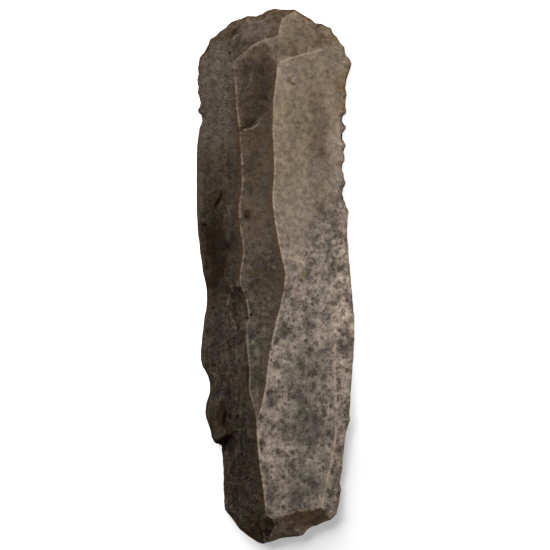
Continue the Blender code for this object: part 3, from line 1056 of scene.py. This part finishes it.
HEAVY_DOTS = Dots(Tone.SPECK, 2.2, 1.10, (5.0, 19.0, 0.0))
SPOTS = Dots(Tone.SPECK, 1.60, 0.90)
LARGE_DOTS = Dots(Tone.SPECK, 1.15, 0.62, (11.0, 5.0, 0.0))
SMALL_DOTS = Dots(Tone.SPECK, 0.70, 0.36)
PALE_DOTS = Dots(Tone.ROSE, 1.1, 0.50, (31.0, 17.0, 0.0))
RUSTY_DOTS = Dots(Tone.RUST, 1.4, 0.32, (3.0, 7.0, 0.0))
FIERY_DOTS = Dots(Tone.OCHRE, 1.3, 0.36, (17.0, 3.0, 0.0))


@dataclass(frozen=True)
class FlintFinish:
    """Weathered flint: beige above, pale grey with dark specks below, brown where thin; painted shade
    darkens some facets.

    A span is where something starts and where it is whole: in millimetres along the blade from its
    middle, but across it for strip_span, in metres from the edge for clear_span and thin_span, and in
    shares of a patch's reach for patch_span. The thicket is the thickest cluster of specks, and its place
    and reach are in millimetres on the plan.
    """

    roughness: float = 0.62
    specular: float = 0.10
    grain_height: float = 0.06 * MM
    middle_share: float = 0.68
    left_share: float = 0.8
    butt_share: float = 0.80
    butt_clear: float = 0.8
    dense_span: tuple[float, float] = (11.0, -6.0)
    dense_wander: float = 20.0
    faded_span: tuple[float, float] = (26.0, 4.0)
    faded_wander: float = 16.0
    faded_share: float = 0.45
    patch_stray: float = 6.0
    patch_span: tuple[float, float] = (1.35, 0.45)
    streak: tuple[float, float, float] = (1.6, 0.18, 0.7)
    rough_span: tuple[float, float] = (-33.0, -39.0)
    raked_span: tuple[float, float] = (20.0, 32.0)
    strip_span: tuple[float, float] = (11.2, 13.2)
    thicket_at: tuple[float, float] = (10.5, 9.0)
    thicket_reach: tuple[float, float] = (4.0, 9.0)
    thicket_share: float = 0.60
    clear_span: tuple[float, float] = (0.3 * MM, 1.5 * MM)
    thin_span: tuple[float, float] = (1.1 * MM, 0.1 * MM)
    upper_span: tuple[float, float] = (-7.0, 2.0)
    spine_span: tuple[float, float] = (-30.0, -36.0)
    toe_span: tuple[float, float] = (44.0, 41.0)
    butt_span: tuple[float, float] = (-47.5, -46.5)

    def build(self) -> bpy.types.Material:
        """Makes the material.

        Returns:
            The material.
        """
        material = bpy.data.materials.new("flint")
        material.use_nodes = True
        net = NodeNet(material.node_tree)
        place = net.scaled(net.add("ShaderNodeTexCoord")["Object"], 1.0 / MM)
        colour = self.ground(net, place)
        colour = self.patched(net, place, colour)
        colour = self.clouded(net, place, colour)
        colour = self.blotched(net, place, colour)
        colour = self.dotted(net, place, colour)
        colour = self.thinned(net, place, colour)
        colour = self.shaded(net, place, colour)
        colour = self.lined(net, place, colour)
        colour = self.marked(net, place, colour)
        grain = net.noise(place, 4.0, 3.0, 0.6) + 0.8 * net.noise(place, 1.6, 2.0)
        sockets = {"Strength": 1.0, "Distance": self.grain_height, "Height": grain}
        bump = net.add("ShaderNodeBump", {}, sockets)
        rough = self.roughness + (net.noise(place, 1.1, 3.0) - 0.5) * 0.25
        sockets = {
            "Base Color": colour, "Roughness": rough, "Normal": bump[0],
            "Specular IOR Level": self.specular,
        }
        shader = net.add("ShaderNodeBsdfPrincipled", {}, sockets)
        net.add("ShaderNodeOutputMaterial", {}, {"Surface": shader[0]})
        return material

    def facet(self, net: NodeNet, facet: Facet) -> Sock | float:
        """Finds the facets of a kind by how they lean.

        Args:
            net: The tree.
            facet: The kind.

        Returns:
            1 on them and 0 on the others.
        """
        lean = net.stored("lean")
        left = lean.ramp(-0.30, -0.45)
        right = lean.ramp(0.05, 0.25)
        middle = (1.0 - left) * (1.0 - right)
        return {Facet.ANY: 1.0, Facet.LEFT: left, Facet.RIGHT: right, Facet.MIDDLE: middle}[facet]

    def butt(self, net: NodeNet) -> Sock:
        """1 on the facets of the butt and 0 elsewhere."""
        return net.stored("tail").ramp(0.20, 0.38)

    def density(self, net: NodeNet, place: Sock) -> Sock:
        """How thickly the stone is specked: not at all near the scraper end, most towards the butt.

        Args:
            net: The tree.
            place: The place in millimetres.

        Returns:
            The density, from 0 to 1.
        """
        wander = (net.noise(place, 0.20, 2.0) - 0.5) * self.dense_wander
        rim = (net.part(place, "X") - 5.0).above(0.0).below(8.0)
        return (net.part(place, "Y") + wander - 2.2 * rim).ramp(*self.dense_span)

    def specked(self, net: NodeNet, place: Sock) -> Sock:
        """The density of the specks, which leave most of the butt's facets clear."""
        return self.density(net, place) * (1.0 - self.butt_clear * self.butt(net))

    def thicket(self, net: NodeNet, place: Sock) -> Sock:
        """Where the specks are thickest.

        Args:
            net: The tree.
            place: The place in millimetres.

        Returns:
            1 in the middle of the thicket and 0 outside.
        """
        away = net.joined(place, (-self.thicket_at[0], -self.thicket_at[1], 0.0))
        away = net.times(away, (1.0 / self.thicket_reach[0], 1.0 / self.thicket_reach[1], 0.0))
        return net.length(away).ramp(1.3, 0.5)

    def ground(self, net: NodeNet, place: Sock) -> Sock:
        """The ground colour of each facet, with painted shade where the facets lean away from the key
        light.

        Args:
            net: The tree.
            place: The place in millimetres.

        Returns:
            The colour.
        """
        wander = (net.noise(place, 0.20, 2.0) - 0.5) * self.faded_wander
        faded = (net.part(place, "Y") + wander).ramp(*self.faded_span) * self.faded_share
        colour = net.tint(Tone.BEIGE, Tone.PALE, faded.above(self.density(net, place)))
        # The middle and left facets and the butt are partly browner stone and partly painted shade, as they
        # lean away from the key light.
        colour = net.tint(colour, Tone.BROWN, self.facet(net, Facet.MIDDLE) * self.middle_share)
        colour = net.tint(colour, Tone.DUSK, self.facet(net, Facet.LEFT) * self.left_share)
        return net.tint(colour, Tone.BROWN, self.butt(net) * self.butt_share)

    def patched(self, net: NodeNet, place: Sock, colour: Sock) -> Sock:
        """Lays the soft patches over a colour, their rims strayed by noise.

        Args:
            net: The tree.
            place: The place in millimetres.
            colour: The colour below.

        Returns:
            The colour with the patches.
        """
        bent = net.add("ShaderNodeTexNoise", {}, {"Vector": place, "Scale": 0.35, "Detail": 2.0})["Color"]
        stray = net.scaled(net.joined(bent, (-0.5, -0.5, -0.5)), self.patch_stray)
        strayed = net.joined(place, stray)
        for patch in PATCHES:
            away = net.joined(strayed, (-patch.at[0], -patch.at[1], 0.0))
            away = net.times(away, (1.0 / patch.reach[0], 1.0 / patch.reach[1], 0.0))
            inside = net.length(away).ramp(*self.patch_span)
            share = inside * patch.strength * self.facet(net, patch.facet)
            colour = net.tint(colour, patch.tone, share)
        return colour

    def clouded(self, net: NodeNet, place: Sock, colour: Sock) -> Sock:
        """Adds soft grey clouds, the whole stone's fine mottling and the pale strokes by the scraper end.

        Args:
            net: The tree.
            place: The place in millimetres.
            colour: The colour below.

        Returns:
            The clouded colour.
        """
        dense = self.specked(net, place)
        cloud = net.noise(place, 0.30, 3.0, 0.55).ramp(0.46, 0.66) * (1.0 - 0.6 * self.butt(net))
        colour = net.tint(colour, Tone.SLATE, cloud * (0.30 + 0.55 * dense))
        streaks = net.noise(net.times(place, self.streak), 1.0, 2.0) - 0.5
        broad = net.noise(net.times(place, (1.0, 0.6, 1.0)), 0.16, 2.0) - 0.5
        left = self.facet(net, Facet.LEFT)
        low = net.part(place, "Y").ramp(*self.rough_span)
        fine = 1.1 + (0.6 + 0.9 * low) * left + 0.6 * self.facet(net, Facet.MIDDLE) + 0.4 * dense
        mottle = 1.0 + (net.noise(place, 0.9, 3.0, 0.6) - 0.5) * 1.9 + broad * 0.9
        mottle = mottle + (net.noise(place, 3.0, 2.0, 0.6) - 0.5) * fine
        mottle = mottle + streaks * 2.4 * net.stored("streaked")
        stroked = net.noise(self.strokes(net, place), 1.0, 2.0, 0.6) - 0.5
        mottle = mottle + stroked * (1.5 + low) * left
        colour = net.scaled(colour, mottle.above(0.25))
        return net.tint(colour, Tone.BONE, self.raked(net, place) * 0.60)

    @staticmethod
    def strokes(net: NodeNet, place: Sock) -> Sock:
        """The place as a vector in which a round speck is a stroke that rises to the right.

        Args:
            net: The tree.
            place: The place in millimetres.

        Returns:
            The vector.
        """
        x, y, z = (net.part(place, axis) for axis in "XYZ")
        along = x * 0.90 + y * 0.42
        across = y * 0.90 - x * 0.42
        return net.add("ShaderNodeCombineXYZ", {}, {0: along * 0.8, 1: across * 3.2, 2: z})[0]

    def raked(self, net: NodeNet, place: Sock) -> Sock:
        """Fine pale strokes across the left facet, up to the scraper end.

        Args:
            net: The tree.
            place: The place in millimetres.

        Returns:
            1 on a stroke and 0 between them.
        """
        marks = net.noise(self.strokes(net, place), 1.3, 2.0, 0.7).ramp(0.50, 0.70)
        here = net.part(place, "Y").ramp(*self.raked_span) * self.facet(net, Facet.LEFT)
        return marks * here * net.noise(place, 0.35, 1.0).ramp(0.35, 0.6)

    def warped(self, net: NodeNet, place: Sock) -> Sock:
        """The place, bent a little so that the dots aren't quite round."""
        bent = net.add("ShaderNodeTexNoise", {}, {"Vector": place, "Scale": 1.1, "Detail": 1.0})["Color"]
        return net.joined(place, net.scaled(bent, 0.45))

    def thickened(self, net: NodeNet, place: Sock) -> tuple[Sock, Sock, Sock]:
        """Gathers the specks in clusters, in the thicket and in a strip along the right edge.

        Args:
            net: The tree.
            place: The place in millimetres.

        Returns:
            The density with the thicket, the same gathered in clusters, and the thicket.
        """
        gather = net.noise(place, 0.25, 2.0).ramp(0.38, 0.62)
        thicket = self.thicket(net, self.warped(net, place))
        dense = self.specked(net, place)
        strip = net.part(place, "X").ramp(*self.strip_span) * dense
        dense = dense.above(self.thicket_share * thicket)
        return dense, dense * (0.35 + 0.65 * gather) + 0.45 * strip, thicket

    def blotched(self, net: NodeNet, place: Sock, colour: Sock) -> Sock:
        """Adds soft dark blotches.

        Args:
            net: The tree.
            place: The place in millimetres.
            colour: The colour below.

        Returns:
            The blotched colour.
        """
        dense, sparse, thicket = self.thickened(net, place)
        soft = net.noise(place, 0.50, 2.0, 0.5).ramp(0.46, 0.72)
        colour = net.tint(colour, Tone.SPECK, soft * (0.08 + 0.32 * dense))
        blotch = net.noise(place, 1.35, 2.0, 0.5).ramp(0.50, 0.78 - 0.06 * sparse)
        return net.tint(colour, Tone.SPECK, blotch * (0.10 + 0.44 * (sparse + 0.50 * thicket)))

    def dotted(self, net: NodeNet, place: Sock, colour: Sock) -> Sock:
        """Adds dark specks that thicken towards the butt, and a few pale and rusty dots.

        Args:
            net: The tree.
            place: The place in millimetres.
            colour: The colour below.

        Returns:
            The dotted colour.
        """
        dense, sparse, thicket = self.thickened(net, place)
        thick = sparse + 0.8 * thicket + 0.25 * dense * self.facet(net, Facet.MIDDLE)
        lit = 1.0 - self.facet(net, Facet.LEFT)
        # Each kind with the share of its cells that hold a dot, and how strong the dots are.
        kinds = (
            (HEAVY_DOTS, 0.85 * thicket, 0.60),
            (SPOTS, 0.72 * thick, 0.22 + 0.55 * dense),
            (LARGE_DOTS, 0.05 + 0.60 * sparse, 0.35 + 0.45 * dense),
            (SMALL_DOTS, 0.13 + 0.50 * sparse, 0.35 + 0.45 * dense),
            (PALE_DOTS, 0.35 * dense * lit, 0.6),
            (RUSTY_DOTS, 0.28, 0.6),
            (FIERY_DOTS, 0.26 * dense, 0.85),
        )
        warped = self.warped(net, place)
        for kind, presence, strength in kinds:
            colour = net.tint(colour, kind.tone, kind.build(net, warped, presence) * strength)
        return colour

    def thinned(self, net: NodeNet, place: Sock, colour: Sock) -> Sock:
        """Adds amber where the edge is thin.

        Args:
            net: The tree.
            place: The place in millimetres.
            colour: The colour below.

        Returns:
            The colour with its edge.
        """
        thin = net.stored("edge").ramp(*self.thin_span)
        tinted = 0.25 + 0.60 * net.part(place, "Y").ramp(8.0, 20.0)
        return net.tint(colour, Tone.AMBER, thin * net.noise(place, 0.5, 2.0).ramp(0.35, 0.6) * tinted)

    def ragged(self, net: NodeNet, place: Sock) -> Sock:
        """Noise in millimetres that frays what runs along the arrises."""
        return (net.noise(place, 2.2, 2.0) - 0.5) * 0.7

    def held(self, net: NodeNet, start: float, stop: float) -> Sock:
        """How far the nearest arris counts, by how crisp it is: 0 at start, 1 at stop, 0 at the edge."""
        clear = net.stored("edge").ramp(*self.clear_span)
        return net.stored("arris_held").ramp(start, stop) * clear * net.stored("back")

    def shaded(self, net: NodeNet, place: Sock, colour: Sock) -> Sock:
        """Adds painted shade in brown, and the stone's amber, on the left of the crisp arrises.

        Args:
            net: The tree.
            place: The place in millimetres.
            colour: The colour below.

        Returns:
            The shaded colour.
        """
        x, y = net.part(place, "X"), net.part(place, "Y")
        gap = net.stored("arris") / MM
        ragged = self.ragged(net, place)
        sharp = self.held(net, 0.82, 0.95)
        high = y.ramp(*self.upper_span)
        past_butt = y.ramp(*self.butt_span)
        # Painted shade: a brown band on the left of each crisp arris.
        shade = (gap + 1.5 * ragged).ramp(-2.0, -0.1) * gap.ramp(0.15, -0.15) * x.ramp(7.0, 4.0)
        colour = net.tint(colour, Tone.BROWN, shade * sharp * (0.26 + 0.16 * high))
        warm = y.ramp(*self.toe_span) * past_butt * x.ramp(5.0, 3.0)
        warm = warm * net.noise(place, 0.5, 2.0).ramp(0.30, 0.55) * (0.5 + 0.5 * high)
        fringe = (gap + ragged).ramp(-1.25, -0.15) * gap.ramp(0.10, -0.15)
        colour = net.tint(colour, Tone.AMBER, fringe * sharp * warm * 0.55)
        seam = (gap + ragged).ramp(-0.50, -0.15) * gap.ramp(0.10, -0.10)
        seam = seam * (y.ramp(*self.spine_span) * past_butt)
        broken = net.noise(place, 0.9, 2.0).ramp(0.35, 0.5)
        return net.tint(colour, Tone.AMBER, seam * sharp * broken * 0.8)

    def lined(self, net: NodeNet, place: Sock, colour: Sock) -> Sock:
        """Adds the pale line of each arris, partly wear and partly a painted highlight, and painted shade
        along each fold.

        Args:
            net: The tree.
            place: The place in millimetres.
            colour: The colour below.

        Returns:
            The lined colour.
        """
        gap = net.stored("arris") / MM
        ragged = self.ragged(net, place)
        # The pale line is partly wear and partly a painted highlight where a rounded arris would catch the
        # light, stronger on the facets that lean right, towards the key light.
        line = (gap - ragged).ramp(0.52, 0.10) * gap.ramp(-0.20, 0.0)
        broken = net.noise(place, 0.9, 2.0).ramp(0.30, 0.58)
        bright = 0.46 + 0.12 * self.facet(net, Facet.RIGHT)
        colour = net.tint(colour, Tone.BONE, line * self.held(net, 0.2, 0.9) * broken * bright)
        # Painted shade: a dark line along each fold, where one scar meets another from below.
        depth = net.maths("ABSOLUTE", net.stored("fold"), 0.0) / MM
        creased = net.stored("fold_held").ramp(0.4, 1.0) * net.stored("back")
        fold = (depth + ragged).ramp(0.7, 0.05) * creased * net.stored("edge").ramp(*self.clear_span)
        return net.tint(colour, Tone.UMBER, fold * 0.55)

    def marked(self, net: NodeNet, place: Sock, colour: Sock) -> Sock:
        """Adds the pale rims of the retouch scars and the coats of the single marks, some of them painted
        shade.

        Args:
            net: The tree.
            place: The place in millimetres.
            colour: The colour below.

        Returns:
            The colour with the marks.
        """
        patchy = net.noise(place, 0.5, 2.0).ramp(0.3, 0.6)
        colour = net.tint(colour, Tone.BONE, net.stored("crest") * patchy * 0.35)
        for tone in dict.fromkeys(coat.value[0] for coat in Coat):
            coating = net.stored("coating_" + tone.name)
            if tone is Tone.BONE:
                coating = coating * net.noise(place, 2.6, 2.0, 0.6).ramp(0.35, 0.65)
            colour = net.tint(colour, tone, coating)
        return colour


@dataclass(frozen=True)
class FlintBlade:
    """The whole blade as one piece.

    soft_arris and sharp_arris are the angles, in degrees, from which an edge of the solid starts to be
    kept as an arris and is kept whole, and hard_share is how far it has to be kept for a hard line. A
    notch's scar reaches notch_reach times its half length over the back, and goes down notch_scar times
    its depth. The streaks' sizes, the marks' margin and widest_scar are in millimetres.
    """

    levels: int = 2
    soft_arris: float = 7.0
    sharp_arris: float = 13.0
    hard_share: float = 0.8
    cusp: float = 12.0
    band_level: float = 0.02
    rise: float = 10.0
    back_tilt: float = 0.1
    clear_height: float = 0.5 * MM
    merge_gap: float = 0.001 * MM
    mark_margin: float = 0.9
    notch_reach: float = 1.1
    notch_scar: float = 0.5
    widest_scar: float = 2.0
    streaks_from: tuple[float, float] = (-5.0, -8.0)
    streaks_over: tuple[float, float] = (1.5, 6.0)
    least_streaks: float = 0.15
    retouch: tuple[Retouch, ...] = (
        Retouch("retouch_scars", 2.1 * MM, 1.3 * MM, 0.45 * MM, 0.16 * MM, 11),
        Retouch("edge_chips", 0.85 * MM, 0.55 * MM, 0.18 * MM, 0.07 * MM, 29),
    )
    skin: Skin = Skin()

    def make(self, finish: bpy.types.Material) -> bpy.types.Object:
        """Builds the blade.

        Args:
            finish: Its material.

        Returns:
            The finished piece.
        """
        solid = bmesh.new()
        solid.from_mesh(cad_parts[NODE].data)
        bmesh.ops.remove_doubles(solid, verts=solid.verts, dist=self.merge_gap)
        solid.verts.index_update()
        outline = Outline(solid, self.band_level)
        self.hold_cusps(solid)
        self.refine(solid)
        arrises, folds = self.crease(solid)
        mesh = bpy.data.meshes.new(PIECE)
        solid.to_mesh(mesh)
        solid.free()
        piece = bpy.data.objects.new(PIECE, mesh)
        bpy.context.scene.collection.objects.link(piece)
        self.smooth(piece)
        self.bite(piece.data, outline)
        self.store(piece.data, outline)
        for line in DRAWN:
            arrises.draw(line)
        arrises.note(piece.data, "arris")
        folds.note(piece.data, "fold")
        self.press_marks(piece.data)
        for row in self.retouch:
            row.strike(piece, finish)
        self.skin.lay(piece, finish)
        self.fit(piece.data)
        self.shade(piece.data)
        return piece

    def hold_cusps(self, solid: bmesh.types.BMesh) -> None:
        """Keeps the points of the outline between two bites sharp when the solid is rounded.

        Args:
            solid: The merged solid.
        """
        layer = solid.verts.layers.float.new("crease_vert")
        for vert in solid.verts:
            level = [
                edge for edge in vert.link_edges
                if sum(abs(face.normal.z) < self.band_level for face in edge.link_faces) == 1
            ]
            if len(level) != 2:
                continue
            ahead, behind = ((edge.other_vert(vert).co - vert.co).xy.normalized() for edge in level)
            outwards = -(ahead + behind)
            turn = math.degrees(math.pi - ahead.angle(behind))
            if turn > self.cusp and outwards.dot(vert.co.xy) > 0.0:
                vert[layer] = 1.0

    def refine(self, solid: bmesh.types.BMesh) -> None:
        """Splits the facets of the back around each mark that goes in, so that it has enough points.

        Args:
            solid: The merged solid.
        """
        near = set()
        for face in solid.faces:
            middle = face.calc_center_median()
            if face.normal.z < self.band_level:
                continue
            for mark in MARKS:
                away = math.hypot(middle.x / MM - mark.at[0], middle.y / MM - mark.at[1])
                if mark.depth > 0.0 and away < mark.reach[0] + self.mark_margin:
                    near.update(face.edges)
        bmesh.ops.subdivide_edges(solid, edges=list(near), cuts=1, use_grid_fill=True)

    def crease(self, solid: bmesh.types.BMesh) -> tuple[Lines, Lines]:
        """Marks the arrises to be kept crisp.

        Args:
            solid: The merged solid.

        Returns:
            The arrises of the back, and the folds where one scar meets another from below.
        """
        layer = solid.edges.layers.float.new("crease_edge")
        arrises, folds = Lines(), Lines()
        for edge in solid.edges:
            angle = math.degrees(edge.calc_face_angle(0.0))
            share = (angle - self.soft_arris) / (self.sharp_arris - self.soft_arris)
            share = min(1.0, max(0.0, share))
            edge[layer] = share
            edge.smooth = share < self.hard_share
            if share > 0.0 and all(face.normal.z > self.band_level for face in edge.link_faces):
                kept = arrises if edge.is_convex else folds
                kept.add(edge.verts[0].co, edge.verts[1].co, share)
        return arrises, folds

    def smooth(self, piece: bpy.types.Object) -> None:
        """Rounds the facets between the arrises into curved faces.

        Args:
            piece: The object.
        """
        modifier = piece.modifiers.new("rounding", "SUBSURF")
        modifier.levels = self.levels
        modifier.render_levels = self.levels
        keep_shape(piece)

    def bite(self, mesh: bpy.types.Mesh, outline: Outline) -> None:
        """Strikes the notches out of the edges, each with the scar that it leaves on the back.

        Args:
            mesh: The smoothed mesh.
            outline: The edge of the blade on the plan.
        """
        points = places(mesh)
        rising = np.clip([self.rise * vert.normal.z for vert in mesh.vertices], 0.0, 1.0)
        edge, _, inwards = outline.measure(points[:, :2])
        for notch in BITES:
            reach = self.notch_reach * min(notch.half, self.widest_scar) * MM
            hollow = notch.share(points[:, :2] / MM) * np.clip(1.0 - (edge / reach) ** 2, 0.0, 1.0)
            hollow *= notch.depth * MM
            points[:, :2] += hollow[:, None] * inwards
            points[:, 2] -= hollow * rising * self.notch_scar
        mesh.vertices.foreach_set("co", points.astype(np.float32).ravel())
        mesh.update()

    def store(self, mesh: bpy.types.Mesh, outline: Outline) -> None:
        """Stores what the node trees read on the vertices.

        Args:
            mesh: The smoothed mesh.
            outline: The edge of the blade on the plan.
        """
        points = places(mesh)
        normals = np.array([vert.normal[:] for vert in mesh.vertices])
        edge, run, inwards = outline.measure(points[:, :2])
        back = np.clip(normals[:, 2] / self.back_tilt, 0.0, 1.0)
        put(mesh, "edge", edge)
        put(mesh, "run", run)
        put(mesh, "inward", np.column_stack([inwards, np.zeros(len(points))]))
        put(mesh, "lean", normals[:, 0])
        put(mesh, "tail", -normals[:, 1])
        put(mesh, "back", back)
        put(mesh, "worked", self.worked(points))
        put(mesh, "crest", np.zeros(len(points)))
        put(mesh, "streaked", self.streaked(points) * back)
        put(mesh, "rings", self.rings(points))
        put(mesh, "clear", np.clip(np.maximum(points[:, 2] / self.clear_height, back), 0.0, 1.0))

    @staticmethod
    def worked(points: np.ndarray) -> np.ndarray:
        """How strongly the edge near each point was worked.

        Args:
            points: The points, in metres.

        Returns:
            The strength at each, from 0 to 1.
        """
        plan = points[:, :2] / MM
        result = np.zeros(len(points))
        for stretch in WORKED:
            inside = (points[:, 1] >= stretch.low * MM) & (points[:, 1] < stretch.high * MM)
            if stretch.side is not None:
                inside &= stretch.side.holds(plan)
            result[inside] = np.maximum(result[inside], stretch.strength)
        return result

    def streaked(self, points: np.ndarray) -> np.ndarray:
        """Where the left facet is streaked along the blade.

        Args:
            points: The points, in metres.

        Returns:
            The strength of the streaks at each, from 0 to 1.
        """
        x, y = points[:, 0] / MM, points[:, 1] / MM
        left = np.clip((self.streaks_from[0] - x) / self.streaks_over[0], 0.0, 1.0)
        return left * np.clip((self.streaks_from[1] - y) / self.streaks_over[1], self.least_streaks, 1.0)

    @staticmethod
    def rings(points: np.ndarray) -> np.ndarray:
        """The distance on the plan from the point of the butt where the blade was struck off."""
        lowest = points[:, 1].min()
        return np.hypot(points[:, 0], points[:, 1] - lowest)

    @staticmethod
    def press_marks(mesh: bpy.types.Mesh) -> None:
        """Presses the single marks into the back and stores their coats, some of them painted shade.

        Args:
            mesh: The smoothed mesh.
        """
        points = places(mesh)
        back = np.empty(len(points), np.float32)
        mesh.attributes["back"].data.foreach_get("value", back)
        plan = points[:, :2] / MM
        coatings = {coat.value[0]: np.zeros(len(points)) for coat in Coat}
        dent = np.zeros(len(points))
        for mark in MARKS:
            tone, _ = mark.coat.value
            dent = np.maximum(dent, mark.dent(plan))
            coatings[tone] = np.maximum(coatings[tone], mark.tinted(plan))
        points[:, 2] -= dent * back * MM
        mesh.vertices.foreach_set("co", points.ravel())
        for tone, coating in coatings.items():
            put(mesh, "coating_" + tone.name, coating * back)

    @staticmethod
    def fit(mesh: bpy.types.Mesh) -> None:
        """Keeps the blade inside its solid's box, with its rests on the floor.

        Args:
            mesh: The dressed mesh.
        """
        low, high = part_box(NODE)
        points = np.clip(places(mesh), low[:], high[:])
        mesh.vertices.foreach_set("co", points.astype(np.float32).ravel())
        mesh.update()

    @staticmethod
    def shade(mesh: bpy.types.Mesh) -> None:
        """Makes the faces smooth, which leaves the hard lines of the arrises."""
        mesh.polygons.foreach_set("use_smooth", [True] * len(mesh.polygons))
        mesh.update()


@dataclass(frozen=True)
class FloorFinish:
    """A white board, lit from inside as a light table is, less so by the butt."""

    colour: Colour = (0.80, 0.80, 0.80, 1.0)
    bright: Colour = (0.90, 0.90, 0.90, 1.0)
    dim: Colour = (0.40, 0.40, 0.40, 1.0)
    dim_from: float = -0.014
    dim_to: float = -0.040

    def build(self) -> bpy.types.Material:
        """Makes the material.

        Returns:
            The material.
        """
        material = bpy.data.materials.new("floor")
        material.use_nodes = True
        net = NodeNet(material.node_tree)
        place = net.add("ShaderNodeTexCoord")["Object"]
        glow = net.tint(self.bright, self.dim, net.part(place, "Y").ramp(self.dim_from, self.dim_to))
        sockets = {
            "Base Color": self.colour, "Roughness": 0.9, "Specular IOR Level": 0.0, "Emission Color": glow,
            "Emission Strength": 1.0,
        }
        shader = net.add("ShaderNodeBsdfPrincipled", {}, sockets)
        net.add("ShaderNodeOutputMaterial", {}, {"Surface": shader[0]})
        return material


@dataclass(frozen=True)
class StudioFloor:
    """A plain pale floor."""

    half_width: float = 6.0
    drop: float = 0.02 * MM

    def make(self, finish: bpy.types.Material) -> bpy.types.Object:
        """Builds the floor.

        Args:
            finish: Its material.

        Returns:
            The floor.
        """
        reach = self.half_width
        corners = [(-reach, -reach), (reach, -reach), (reach, reach), (-reach, reach)]
        mesh = bpy.data.meshes.new("floor")
        mesh.from_pydata([(x, y, -self.drop) for x, y in corners], [], [(0, 1, 2, 3)])
        mesh.materials.append(finish)
        floor = bpy.data.objects.new("floor", mesh)
        floor.visible_diffuse = False
        floor.visible_glossy = False
        bpy.context.scene.collection.objects.link(floor)
        return floor


@dataclass(frozen=True)
class SoftBox:
    """A square soft light that faces the blade. Its azimuth runs from +X towards +Y, in degrees."""

    name: str
    azimuth: float
    elevation: float
    distance: float
    size: float
    power: float

    def make(self, receivers: tuple[bpy.types.Object, ...] = ()) -> bpy.types.Object:
        """Sets up the light.

        Args:
            receivers: The only objects that it lights, or none for all of them.

        Returns:
            The light.
        """
        data = bpy.data.lights.new(self.name, "AREA")
        data.shape = "SQUARE"
        data.size = self.size
        data.energy = self.power
        light = bpy.data.objects.new(self.name, data)
        around = math.radians(self.azimuth)
        up = math.radians(self.elevation)
        away = Vector((math.cos(up) * math.cos(around), math.cos(up) * math.sin(around), math.sin(up)))
        light.location = away * self.distance
        light.rotation_euler = (-away).to_track_quat("-Z", "Y").to_euler()
        bpy.context.scene.collection.objects.link(light)
        if receivers:
            group = bpy.data.collections.new(self.name + "_receivers")
            for receiver in receivers:
                group.objects.link(receiver)
            light.light_linking.receiver_collection = group
        return light


@dataclass(frozen=True)
class Studio:
    """The lights: a key from the right and two weak fills on the blade, and one that lights the floor."""

    key: SoftBox = SoftBox("key", 12.0, 26.0, 0.80, 0.26, 6.4)
    fill: SoftBox = SoftBox("fill", 124.0, 45.0, 0.22, 0.14, 0.28)
    foot: SoftBox = SoftBox("foot", 250.0, 34.0, 0.30, 0.16, 0.11)
    table: SoftBox = SoftBox("table", 128.0, 34.0, 0.90, 1.10, 20.0)
    ambient: float = 0.03

    def make(self, blade: bpy.types.Object, floor: bpy.types.Object) -> None:
        """Sets up the lights and the pale surroundings.

        Args:
            blade: What the key light shines on.
            floor: What the table light shines on.
        """
        self.key.make((blade,))
        self.fill.make((blade,))
        self.foot.make((blade,))
        self.table.make((floor,))
        world = bpy.data.worlds.new("surroundings")
        world.use_nodes = True
        net = NodeNet(world.node_tree)
        sky = net.add("ShaderNodeBackground", {}, {"Color": (1.0, 1.0, 1.0, 1.0), "Strength": self.ambient})
        net.add("ShaderNodeOutputWorld", {}, {"Surface": sky[0]})
        bpy.context.scene.world = world


@dataclass(frozen=True)
class OverheadCamera:
    """A long lens that looks straight down on the blade, with its scraper end at the picture's top."""

    lens: float = 400.0
    sensor: float = 36.0

    def make(self) -> bpy.types.Object:
        """Sets up the camera.

        Returns:
            The camera.
        """
        low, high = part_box(NODE)
        pixel = (high.y - low.y) / BLADE_PIXELS
        data = bpy.data.cameras.new("camera")
        data.lens = self.lens
        data.sensor_width = self.sensor
        camera = bpy.data.objects.new("camera", data)
        middle = (low + high) / 2
        distance = PICTURE_PIXELS * pixel * self.lens / self.sensor
        camera.location = (
            middle.x - MIDDLE_RIGHT_PIXELS * pixel,
            middle.y + MIDDLE_DOWN_PIXELS * pixel,
            distance + EDGE_HEIGHT,
        )
        bpy.context.scene.collection.objects.link(camera)
        bpy.context.scene.camera = camera
        return camera


def main() -> None:
    """Builds the blade, the floor, the lights and the camera."""
    logging.basicConfig(level=logging.INFO, format="%(name)s: %(message)s")
    blade = FlintBlade().make(FlintFinish().build())
    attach(blade, "root")
    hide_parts(NODE)
    triangles = sum(len(face.vertices) - 2 for face in blade.data.polygons)
    log.info("%s has %d triangles", blade.name, triangles)
    floor = StudioFloor().make(FloorFinish().build())
    log.info("%s laid", floor.name)
    Studio().make(blade, floor)
    log.info("%s set up", OverheadCamera().make().name)
    bpy.context.scene.view_settings.view_transform = "Standard"


if __name__ == "__main__":
    main()
